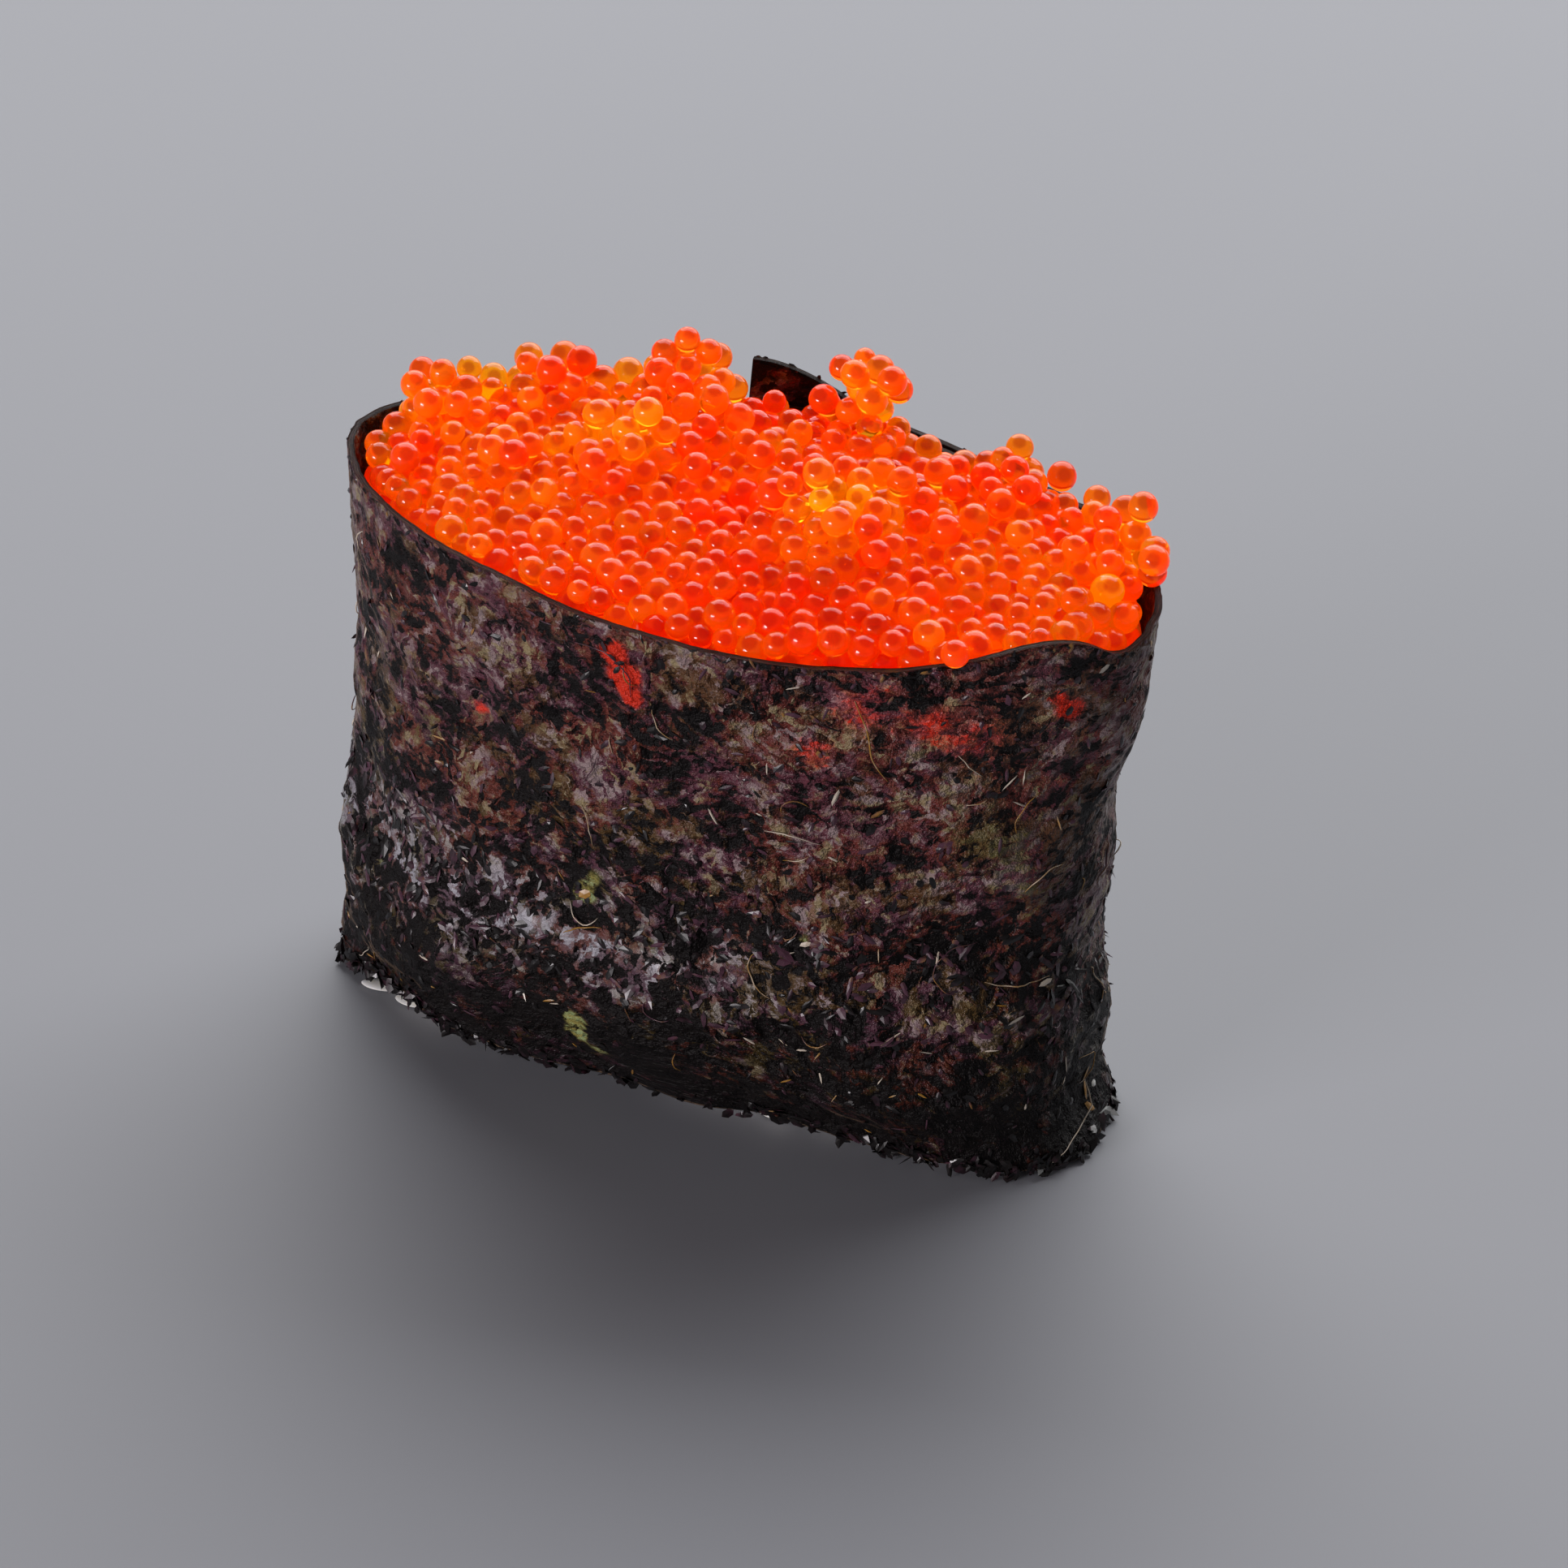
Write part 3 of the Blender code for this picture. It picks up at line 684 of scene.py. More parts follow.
def scatter_flakes(draw, count, kind, wrap):
    """Places and tones of one kind of flake over the whole wrap."""
    number = int(count * kind.share)
    lengths = draw.uniform(0, length_at(2 * math.pi), number)
    turned = turn_at(lengths)
    heights = draw.uniform(*kind.heights, number) * MM
    if kind.start == "hem":
        heights += hem_heights(STRIP_END_ANGLE - turned)
    if kind.start == "rim":
        heights += rim_heights(STRIP_END_ANGLE - turned, lengths)
    tilts = draw.normal(0, math.radians(kind.tilt), (number, 2))
    turns = np.column_stack([tilts, draw.uniform(0, 2 * math.pi, number)])
    sizes = [draw.uniform(*kind.length, number), draw.uniform(*kind.width, number)]
    sizes = np.column_stack([*sizes, np.full(number, FLAKE_THICKNESS)]) * MM
    heights = np.maximum(heights, 0.4 * MM)
    places = lay_on_sheet(turned, heights, 0.02 * MM, turns, sizes, wrap, kind.lean)
    tones = kind.palest * draw.uniform(0, 1, number) ** 1.6
    # Painted shade: the flakes get darker towards the foot
    return places, tones * (0.35 + 0.65 * eased((heights - 3 * MM) / (9 * MM)))


def single_flakes(wrap):
    """Places and tones of the flakes that catch the eye."""
    turned = np.array([front_turn(x * MM, height * MM) for x, height, *_ in FLAKES])
    heights = np.array([flake[1] for flake in FLAKES]) * MM
    turns = [(0.1, 0.1, math.radians(flake[4])) for flake in FLAKES]
    sizes = np.array([(flake[2], flake[3], FLAKE_THICKNESS) for flake in FLAKES]) * MM
    return lay_on_sheet(turned, heights, 0.07 * MM, turns, sizes, wrap), [flake[5] for flake in FLAKES]


def build_flakes(settings, wrap):
    """Flakes pressed on the wrap and frayed along its hem and rim, as one piece."""
    draw = np.random.default_rng(settings.seed)
    places, tones = single_flakes(wrap)
    for kind in SCATTERS:
        more, shades = scatter_flakes(draw, settings.flakes, kind, wrap)
        places += more
        tones += list(shades)
    corners, faces = flake_shape()
    moved, joined = repeat_shape(corners, faces, places)
    moved[:, 2] = np.maximum(moved[:, 2], 0.05 * MM)
    piece = mesh_of("seaweed_flakes", moved, joined, shred_material(wrap))
    piece.data.shade_flat()
    add_values(piece, "tone", np.repeat(tones, len(corners)))
    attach(piece, "root")


def thread(path, outward, radius):
    """Corners and faces of a thin thread along a path, thinner at both ends."""
    tangent = unit(np.gradient(path, axis=0))
    side = unit(np.cross(tangent, outward))
    top = np.cross(side, tangent)
    thick = radius * (0.4 + 0.6 * np.sin(np.linspace(0, math.pi, len(path))))[:, None]
    rings = [path + thick * (math.cos(a) * side + math.sin(a) * top) for a in (0, 1.57, 3.14, 4.71)]
    return np.stack(rings, axis=1).reshape(-1, 3), np.array(tube_faces(len(path), 4))


def thread_path(turned, heights, lift, wrap):
    """A thread's points, standing off the wrap most at its middle, and the wrap's outward directions."""
    points = sheet_points(turned, heights, wrap)
    angles = STRIP_END_ANGLE - turned
    outward = unit(wall_points(angles, heights, -MM) - wall_points(angles, heights))
    rise = 0.03 * MM + lift * np.sin(np.linspace(0, math.pi, len(points)))
    return points + outward * rise[:, None], outward


def random_route(draw):
    """A curling route over the wrap, as turns and heights."""
    count = draw.integers(6, 16)
    bend = draw.normal(0, 0.16)
    heading = draw.uniform(0, 2 * math.pi) + np.cumsum(draw.normal(bend, 0.12, count))
    lengths = draw.uniform(4 * MM, STRIP_LENGTHS[-1] * 0.8) + np.cumsum(np.cos(heading)) * 0.25 * MM
    heights = draw.uniform(4, 34) * MM + np.cumsum(np.sin(heading)) * 0.25 * MM
    return turn_at(lengths), np.clip(heights, 1.5 * MM, 36.5 * MM)


def hair_route(points):
    """A smooth route through points of x and height on the front."""
    points = np.array(points)
    knots = np.arange(len(points))
    fine = np.linspace(0, len(points) - 1, 6 * len(points))
    xs, heights = (np.interp(fine, knots, points[:, k]) for k in (0, 1))
    soften = np.full(5, 0.2)
    xs[2:-2] = np.convolve(xs, soften, "valid")
    heights[2:-2] = np.convolve(heights, soften, "valid")
    turned = np.array([front_turn(x * MM, height * MM) for x, height in zip(xs, heights)])
    return turned, heights * MM


def build_threads(settings, wrap):
    """Loose hairs of seaweed that curl off the wrap, as one piece."""
    draw = np.random.default_rng(settings.seed)
    routes = [(hair_route(points), 0.30 * MM) for points in HAIRS]
    routes += [(random_route(draw), draw.uniform(0.02, 0.35) * MM) for _ in range(settings.threads)]
    corners, faces, tones, count = [], [], [], 0
    for (turned, heights), lift in routes:
        path, outward = thread_path(turned, heights, lift, wrap)
        points, quads = thread(path, outward, draw.uniform(0.035, 0.06) * MM)
        corners.append(points)
        faces.append(quads + count)
        tones += [draw.uniform(0.3, 1.0)] * len(points)
        count += len(points)
    corners, faces = np.concatenate(corners), np.concatenate(faces)
    piece = mesh_of("seaweed_threads", corners, faces, shred_material(wrap))
    add_values(piece, "tone", tones)
    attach(piece, "root")


# The roe


def add_humps(values, points, humps, scale=1.0):
    """Adds smooth humps to a value at each point: x, y, height and radius, the places and radii in mm."""
    for x, y, height, radius in humps:
        gap = (points[:, 0] / MM - x) ** 2 + (points[:, 1] / MM - y) ** 2
        values += height * scale * np.exp(-gap / radius**2)


def heap_heights(points):
    """Height of the roe's surface, at the tops of the eggs."""
    left, right, half_width, squareness = outline_at(BAND_HEIGHT)
    x, y = points[:, 0], points[:, 1]
    half_length = np.where(x > 0, right, left)
    out = (np.abs(x / half_length) ** squareness + np.abs(y / half_width) ** squareness) ** (1 / squareness)
    lean = 0.5 + 0.5 * y / half_width
    level = FRONT_LEVEL + (BACK_LEVEL - FRONT_LEVEL) * lean + DOME * (1 - np.minimum(out, 1.0) ** 2)
    level -= TIP_DROP * eased((np.abs(x) - (half_length - TIP_RUN)) / TIP_RUN)
    add_humps(level, points, LUMPS, MM)
    level += 0.35 * MM * np.cos(x / (0.9 * MM) + 1.7 * np.sin(y / (1.3 * MM))) * np.cos(y / (0.8 * MM) - 0.4)
    return BAND_HEIGHT + level


def heap_ring(height, sheet):
    """The wall round the roe at a height, as plan points and their inward directions."""
    angles = round_angles(RING_COUNT)
    ring = wall_points(angles, height, filling_insets(angles, sheet))[:, :2]
    along = unit(np.roll(ring, -1, axis=0) - np.roll(ring, 1, axis=0))
    return ring, np.stack([-along[:, 1], along[:, 0]], axis=1)


def start_eggs(draw, count, ring, depth):
    """Random places in the layer of eggs."""
    low, high = ring.min(axis=0), ring.max(axis=0)
    reach = np.abs(ring).max(axis=0)
    points = []
    while len(points) < count:
        x, y = draw.uniform(low, high)
        if (abs(x) / reach[0]) ** 2 + (abs(y) / reach[1]) ** 2 < 0.95:
            points.append((x, y, draw.uniform(0, 1)))
    points = np.array(points)
    points[:, 2] = heap_heights(points) - depth * points[:, 2]
    return points


def keep_inside(places, wall, room):
    """Moves plan places in from the wall until each has its room; room below 0 lies past the wall."""
    ring, inward = wall
    nearest = np.argmin(((places[:, None] - ring[None]) ** 2).sum(-1), axis=1)
    now = ((places - ring[nearest]) * inward[nearest]).sum(1)
    return places + inward[nearest] * np.clip(room - now, 0, None)[:, None]


def settle_eggs(points, radii, lid, wall, depth):
    """Eases the eggs apart until they lie side by side, inside the wall and under the heap's surface."""
    for _ in range(SETTLE_ROUNDS):
        gap = points[:, None] - points[None]
        distance = np.sqrt((gap**2).sum(-1)) + np.eye(len(points))
        short = np.clip(radii[:, None] + radii[None] - distance, 0, None) * (1 - np.eye(len(points)))
        points = points + EASE_APART * (gap / distance[..., None] * short[..., None]).sum(1)
        points[:, :2] = keep_inside(points[:, :2], wall, radii)
        top = heap_heights(points)
        points[:, 2] = np.clip(points[:, 2], top - depth + radii, top - radii + lid)
    return points


def resting_heights(places, radius, points, radii):
    """Heights at which an egg let down at each place touches one of the balls below."""
    away = ((places[:, None] - points[None, :, :2]) ** 2).sum(-1)
    reach = (radii + radius) ** 2 - away
    return np.where(reach > 0, points[:, 2] + np.sqrt(np.maximum(reach, 0)), -1.0).max(axis=1)


def egg_radii(draw, size, count=None):
    """Radii of eggs of about one size."""
    return size / 2 * np.clip(draw.normal(1.0, EGG_SPREAD, count), *EGG_LIMITS)


def drop_eggs(points, radii, rim, spots, size, draw, wall):
    """Lets further eggs fall on heap and rim one by one, and roll down to the nearest dip."""
    turn = np.arange(8) * math.pi / 4
    sides = np.column_stack([np.cos(turn), np.sin(turn)]) * ROLL_STEP * size
    balls = np.concatenate([rim, points])
    sizes = np.concatenate([np.full(len(rim), RIM_BEAD * size), radii])
    for x, y, rolls in spots:
        radius = egg_radii(draw, size)
        place = keep_inside(np.array([(x, y)]), wall, -RIM_ROOM)[0]
        top = resting_heights(place[None], radius, balls, sizes)[0]
        for _ in range(rolls):
            tries = keep_inside(place + sides, wall, -RIM_ROOM)
            tops = resting_heights(tries, radius, balls, sizes)
            if tops.min() >= top:
                break
            place, top = tries[tops.argmin()], tops.min()
        if top > 0:
            balls = np.concatenate([balls, [(*place, top - SINK_IN * size)]])
            sizes = np.append(sizes, radius)
    return balls[len(rim) :], sizes[len(rim) :]


def loose_spots(draw):
    """Where loose eggs fall, and how many times each may roll."""
    spots = []
    for x, y, wide, deep, count in DRIFTS:
        fallen = draw.normal((x, y), (wide, deep), (count, 2)) * MM
        spots += [(*spot, DRIFT_ROLLS) for spot in fallen]
    return spots + [(x * MM, y * MM, 0) for x, y in STRAYS]


def place_eggs(settings, sheet):
    """Middles, radii and depths of all eggs, and the random draws that go on from there."""
    draw = np.random.default_rng(settings.seed)
    wall = heap_ring(BAND_HEIGHT - 1 * MM, sheet)
    points = start_eggs(draw, settings.count, wall[0], settings.depth)
    radii = egg_radii(draw, settings.egg, len(points))
    lid = draw.uniform(*STAND_OUT, len(points)) * settings.egg
    points = settle_eggs(points, radii, lid, wall, settings.depth)
    rim = wall_points(round_angles(RING_COUNT), BAND_HEIGHT - RIM_BEAD * settings.egg, sheet / 2)
    points, radii = drop_eggs(points, radii, rim, loose_spots(draw), settings.egg, draw, wall)
    below = heap_heights(points) - points[:, 2] - radii
    return points + CENTRE, radii, below, draw


def egg_places(points, radii, draw):
    """Matrices that put a ball of diameter 1 at each egg, slightly out of round."""
    places = []
    for point, radius in zip(points, radii):
        squeeze = draw.uniform(0.95, 1.03, 3)
        places.append(placed(point, draw.uniform(0, 2 * math.pi, 3), 2 * radius * squeeze))
    return places


def dark_spot_values(places, corners, draw):
    """How near each corner of each egg is to the middle of its painted dark spot, from -1 to 1."""
    aims = unit(np.array(DARK_SPOT_DIRECTION) + draw.normal(0, 0.22, (len(places), 3)))
    turns = np.array([np.array(place.to_3x3().normalized()) for place in places])
    outward = np.einsum("nij,vj->nvi", turns, 2 * corners)
    return np.einsum("nvi,ni->nv", outward, aims).ravel()


def build_roe_core(settings, sheet):
    """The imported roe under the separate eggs."""
    angles = round_angles(CORE_COUNT)
    insets = filling_insets(angles, sheet)
    heights = np.linspace(RICE_TOP + SHEET_GAP, BAND_HEIGHT - 3 * MM, 9)
    sides = [wall_points(angles, height, insets) for height in heights]
    rim = wall_points(angles, BAND_HEIGHT, insets)
    tops = []
    for share in np.linspace(1.0, 0.04, 22):
        level = rim * (share, share, 1.0)
        edge_drop = 0.6 * MM * eased((share - 0.8) / 0.2)
        level[:, 2] = heap_heights(level) - CORE_DEPTH * settings.depth - edge_drop
        tops.append(level)
    crown = np.concatenate(tops)
    corners = np.concatenate([*sides, crown + bumps(crown, CORE_BUMPS * settings.egg)])
    faces = tube_faces(len(sides) + len(tops), CORE_COUNT)
    piece = mesh_of("roe_core", corners + CENTRE, faces, roe_core_material())
    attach(piece, "root")
    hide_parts("roe")


def bumps(points, span):
    """Small upward bumps, egg by egg."""
    lift = np.zeros((len(points), 3))
    for i, (x, y, _) in enumerate(points):
        near = noise.voronoi((x / span, y / span, 0.5))[0][0]
        lift[i, 2] = 0.35 * span * (0.5 - near)
    return lift


# Warmth from which an egg counts as orange or as amber
ORANGE_FROM = 0.42
AMBER_FROM = 0.62

# Patches where the roe is paler or deeper, in mm: x, y, how much and how far round; partly painted shade,
# deeper in the hollows and towards the front, and partly painted light, paler on some lumps
TONE_AND_SHADE_PATCHES = (
    (5.7, -1.2, 0.42, 3.6),
    (-8.5, 1.0, 0.22, 3.6),
    (-16.0, 8.0, -0.04, 6.0),
    (-9.0, 11.0, -0.06, 3.0),
    (15.5, 7.5, -0.05, 4.0),
    (20.5, 6.5, 0.05, 3.0),
    (-13.0, 2.0, 0.12, 5.0),
    (-0.8, -0.6, -0.55, 2.8),
    (-2.2, 12.0, -0.3, 3.0),
    (2.0, -9.5, -0.22, 9.0),
    (14.0, -5.0, -0.12, 6.0),
)


def heap_warmth_and_shade(points, below, draw):
    """0 for the deepest red eggs to 1 for the palest: random in part, and in part painted light and shade,
    pale on the lumps, deep in the hollows and lower in the heap.
    """
    # Painted shade: eggs lower under the heap's surface are redder; the rest is random tone
    warmth = 0.55 + draw.normal(0, 0.08, len(points)) - 0.3 * eased(below / (2 * MM))
    warmth += [0.28 * noise.noise(Vector(point) / (4.5 * MM)) for point in points]
    warmth -= 0.26 * eased(-below / (1.0 * MM))
    add_humps(warmth, points, TONE_AND_SHADE_PATCHES)
    return warmth


def egg_kinds(points, below, warmth, settings):
    """The pieces that the eggs are sorted into: a name, which eggs, and their material."""
    packed = egg_material(settings, "roe_clear", clear=0.90, glow=0.13)
    single = egg_material(settings, "roe_loose", clear=0.72, glow=0.26)
    # Eggs that stand proud of the heap or lie at its back edge are less clear, or the floor would dull them
    at_edge = (points[:, 0] / RIM_OVAL[0]) ** 2 + (points[:, 1] / RIM_OVAL[1]) ** 2 > EDGE_FROM
    loose = (below < -PROUD_BY) | (at_edge & (points[:, 1] > 0))
    return (
        ("roe_red", ~loose & (warmth < ORANGE_FROM), packed),
        ("roe_orange", ~loose & (warmth >= ORANGE_FROM) & (warmth < AMBER_FROM), packed),
        ("roe_amber", ~loose & (warmth >= AMBER_FROM), packed),
        ("roe_loose", loose, single),
    )


def build_roe(settings, sheet):
    """All the roe: the core, and the separate eggs sorted by colour."""
    build_roe_core(settings, sheet)
    points, radii, below, draw = place_eggs(settings, sheet)
    warmth = heap_warmth_and_shade(points, below, draw)
    corners, faces = ball_shape(3)
    for name, chosen, material in egg_kinds(points, below, warmth, settings):
        places = egg_places(points[chosen], radii[chosen], draw)
        moved, joined = repeat_shape(corners, faces, places)
        piece = mesh_of(name, moved, joined, material)
        add_values(piece, "warmth", np.repeat(warmth[chosen], len(corners)))
        add_values(piece, "crown", dark_spot_values(places, corners, draw))
        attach(piece, "root")
        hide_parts("roe")


# The rice


def grain_shape():
    """Corners and triangles of a cooked grain of length, width and height 1: blunt, and a little bent."""
    corners, faces = ball_shape(3)
    x, y, z = (corners * 2).T
    belly = 1.0 - 0.12 * x - 0.10 * x**4
    y = y * belly + 0.10 * x * x - 0.05
    z = z * belly
    return np.column_stack([x, y, z]) / 2, faces


def underside_places(settings, sheet):
    """Grains pressed into the underside, in loose rows, with more of them above."""
    draw = np.random.default_rng(settings.seed)
    left, right, half_width, squareness = outline_at(0.0)
    width = 0.5 * settings.length
    room_x = min(left, right) - settings.length / 2
    room_y = half_width - 0.5 * width - sheet
    places = []
    for layer, step in ((0, 0.93), (1, 1.0)):
        for row in range(-4, 5):
            for x in np.arange(-25 * MM, 25 * MM, step * settings.length):
                at = np.array((x + (row % 2) * 0.5 * settings.length, (row + 0.5 * layer) * 0.85 * width))
                at += draw.uniform(-0.1, 0.1, 2) * settings.length
                if abs(at[0] / room_x) ** squareness + abs(at[1] / room_y) ** squareness > 1:
                    continue
                places.append(grain_place(draw, (*at, (0.4 + 0.62 * layer) * width), settings.length))
    return places, draw


def grain_place(draw, at, length):
    """A matrix that puts a grain of length 1 somewhere, turned and sized a little at random."""
    heading = draw.normal(0, 0.6)
    turn = (draw.uniform(-0.5, 0.5), draw.normal(0, 0.1), heading)
    size = length * draw.uniform(0.88, 1.0)
    return placed(at, turn, (size, 0.5 * size, 0.42 * size))


# Grains that push out under the front hem, in mm: x, length and height
HEM_GRAINS = ((-21.3, 3.0, 0.42), (-18.7, 2.8, 0.4), (6.9, 3.0, 0.5), (17.4, 2.4, 0.4), (19.8, 2.4, 0.4))


def hem_places(draw):
    """Matrices for the grains that push out under the front hem."""
    left, _, half_width, squareness = outline_at(0.0)
    places = []
    for x, length, height in HEM_GRAINS:
        front = -half_width * (1 - abs(x * MM / left) ** squareness) ** (1 / squareness)
        at = (x * MM, front + 1.3 * MM, 0.5 * height * MM)
        turn = (0.0, 0.0, 0.12 + draw.normal(0, 0.1))
        places.append(placed(at, turn, (length * MM, 1.2 * MM, height * MM)))
    return places


def pressed_flat(heights):
    """Heights squeezed together near the board, so that nothing goes through it."""
    near = 0.3 * MM
    return np.where(heights < near, near * np.exp(heights / near - 1), heights)


def build_rice(settings, sheet):
    """The pressed rice: a core, and the grains under it and at the hem."""
    angles = round_angles(CORE_COUNT)
    insets = filling_insets(angles, sheet)
    heights = [RICE_CORE_BOTTOM, 2 * MM, *np.linspace(3.5 * MM, RICE_TOP, 12)]
    rings = [wall_points(angles, height, insets) for height in heights]
    material = rice_material(settings)
    core = mesh_of("rice_core", np.concatenate(rings) + CENTRE, tube_faces(len(rings), CORE_COUNT), material)
    corners, faces = grain_shape()
    places, draw = underside_places(settings, sheet)
    places += hem_places(draw)
    moved, joined = repeat_shape(corners, faces, places)
    moved[:, 2] = pressed_flat(moved[:, 2])
    grains = mesh_of("rice_grains", moved, joined, material)
    for piece in (core, grains):
        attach(piece, "root")
        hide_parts("rice")


# Materials


def feed(tree, socket, value):
    """Links a socket to another one, or sets its plain value."""
    if isinstance(value, bpy.types.NodeSocket):
        tree.links.new(value, socket)
    elif socket.type == "RGBA":
        socket.default_value = (*value[:3], 1.0)
    else:
        socket.default_value = value


def fill(tree, node, inputs):
    """Links or sets a node's inputs, by name or number."""
    for key, value in inputs.items():
        feed(tree, node.inputs[key], value)


def put(tree, kind, inputs=None, **settings):
    """Adds a shader node, with its inputs by name or number."""
    made = tree.nodes.new("ShaderNode" + kind)
    for name, value in settings.items():
        setattr(made, name, value)
    fill(tree, made, inputs or {})
    return made


def calc(tree, operation, *values):
    """The result of a Math node."""
    return put(tree, "Math", dict(enumerate(values)), operation=operation).outputs[0]


def move(tree, operation, *values):
    """The result of a Vector Math node."""
    return put(tree, "VectorMath", dict(enumerate(values)), operation=operation).outputs[0]


def plus(tree, base, value, amount, middle=0.0):
    """A base with so much of a value added to it, the value taken from its middle."""
    value = calc(tree, "SUBTRACT", value, middle) if middle else value
    return calc(tree, "MULTIPLY_ADD", value, amount, base)


def mix(tree, share, low, high, blend="MIX"):
    """A colour between two colours."""
    return put(tree, "Mix", {0: share, 6: low, 7: high}, data_type="RGBA", blend_type=blend).outputs[2]


def mix_value(tree, share, low, high):
    """A number between two numbers."""
    return put(tree, "Mix", {0: share, 2: low, 3: high}, data_type="FLOAT").outputs[0]


def fade(tree, value, low, high, bottom=0.0, top=1.0):
    """Eases a value from bottom to top while it goes from low to high."""
    inputs = {"Value": value, "From Min": low, "From Max": high, "To Min": bottom, "To Max": top}
    return put(tree, "MapRange", inputs, interpolation_type="SMOOTHSTEP").outputs[0]


def soft_noise(tree, vector, scale, detail=2.0, rough=0.5):
    """A node of soft random values over the surface."""
    inputs = {"Vector": vector, "Scale": scale, "Detail": detail, "Roughness": rough}
    return put(tree, "TexNoise", inputs)


def cloud(tree, vector, scale, detail=2.0, rough=0.5):
    """One soft random value."""
    return soft_noise(tree, vector, scale, detail, rough).outputs["Fac"]


def clouds(tree, vector, scale, detail, rough):
    """Three soft random values that differ from each other."""
    colours = soft_noise(tree, vector, scale, detail, rough).outputs["Color"]
    return put(tree, "SeparateColor", {0: colours}).outputs


def stored(tree, name):
    """A value stored on the mesh."""
    return put(tree, "Attribute", attribute_name=name).outputs["Fac"]


def object_place(tree):
    """The place on the object, in metres."""
    return put(tree, "TexCoord").outputs["Object"]


def bumped(tree, height, strength=1.0):
    """The direction of a surface with relief of a height in mm."""
    return put(tree, "Bump", {"Strength": strength, "Distance": MM, "Height": height}).outputs[0]


def new_group(name, takes, gives):
    """A shader node group with named sockets."""
    tree = bpy.data.node_groups.new(name, "ShaderNodeTree")
    for in_out, sockets in (("INPUT", takes), ("OUTPUT", gives)):
        for label, kind in sockets.items():
            tree.interface.new_socket(label, in_out=in_out, socket_type="NodeSocket" + kind)
    return tree, tree.nodes.new("NodeGroupInput").outputs, tree.nodes.new("NodeGroupOutput")


def combed_group():
    """Long flecks that lie side by side, in patches that each lie another way."""
    takes = {"Vector": "Vector", "Patch": "Float", "Length": "Float", "Width": "Float"}
    gives = {"Value": "Float", "Tint": "Float", "Height": "Float"}
    tree, given, result = new_group("Combed Patches", takes, gives)
    scale = calc(tree, "DIVIDE", 1.0, given["Patch"])
    cells = put(tree, "TexVoronoi", {"Vector": given["Vector"], "Scale": scale}, feature="F1").outputs
    local = move(tree, "SUBTRACT", given["Vector"], cells["Position"])
    chance = put(tree, "SeparateColor", {0: cells["Color"]}).outputs[0]
    angle = calc(tree, "MULTIPLY", chance, 2 * math.pi)
    turned = put(tree, "VectorRotate", {"Vector": local, "Angle": angle}, rotation_type="Z_AXIS").outputs[0]
    size = put(tree, "CombineXYZ", {0: given["Length"], 1: given["Width"], 2: 1.0}).outputs[0]
    apart = move(tree, "MULTIPLY_ADD", cells["Color"], (40.0, 40.0, 0.0), move(tree, "DIVIDE", turned, size))
    flecks = put(tree, "TexVoronoi", {"Vector": apart, "Scale": 1.0, "Randomness": 0.9}, feature="F1").outputs
    tint = put(tree, "SeparateColor", {0: flecks["Color"]}).outputs
    slope = move(tree, "SUBTRACT", flecks["Color"], (0.5, 0.5, 0.5))
    away = move(tree, "SUBTRACT", apart, flecks["Position"])
    tilt = put(tree, "VectorMath", {0: slope, 1: away}, operation="DOT_PRODUCT").outputs["Value"]
    fill(tree, result, {"Value": tint[2], "Tint": tint[0], "Height": tilt})
    return tree


def use(tree, group, inputs):
    """Places a node group with its own values."""
    made = tree.nodes.new("ShaderNodeGroup")
    made.node_tree = group
    fill(tree, made, inputs)
    return made.outputs


def new_material(name):
    """A material with its node tree and its Principled shader."""
    material = bpy.data.materials.new(name)
    material.use_nodes = True
    return material, material.node_tree, material.node_tree.nodes["Principled BSDF"]


def strip_place(tree):
    """Place on the unrolled strip, in mm."""
    where = put(tree, "UVMap", uv_map="strip").outputs[0]
    return move(tree, "MULTIPLY", where, (MAP_UNIT / MM, MAP_UNIT / MM, 1.0))


# Further colours of the wrap
ROSY = (0.19, 0.036, 0.040)
TAN = (0.27, 0.21, 0.11)
PAINTED_SHEEN = (0.40, 0.39, 0.43)
MOSS = (0.11, 0.095, 0.025)
LIME_DEEP = (0.30, 0.26, 0.07)
LIME = (0.32, 0.40, 0.17)
BLUSH = (0.26, 0.035, 0.032)
ROE_THROUGH = (0.62, 0.028, 0.010)
ROE_GLOW = (0.5, 0.012, 0.002)
PAINTED_EDGE_SHEEN = (0.20, 0.13, 0.085)


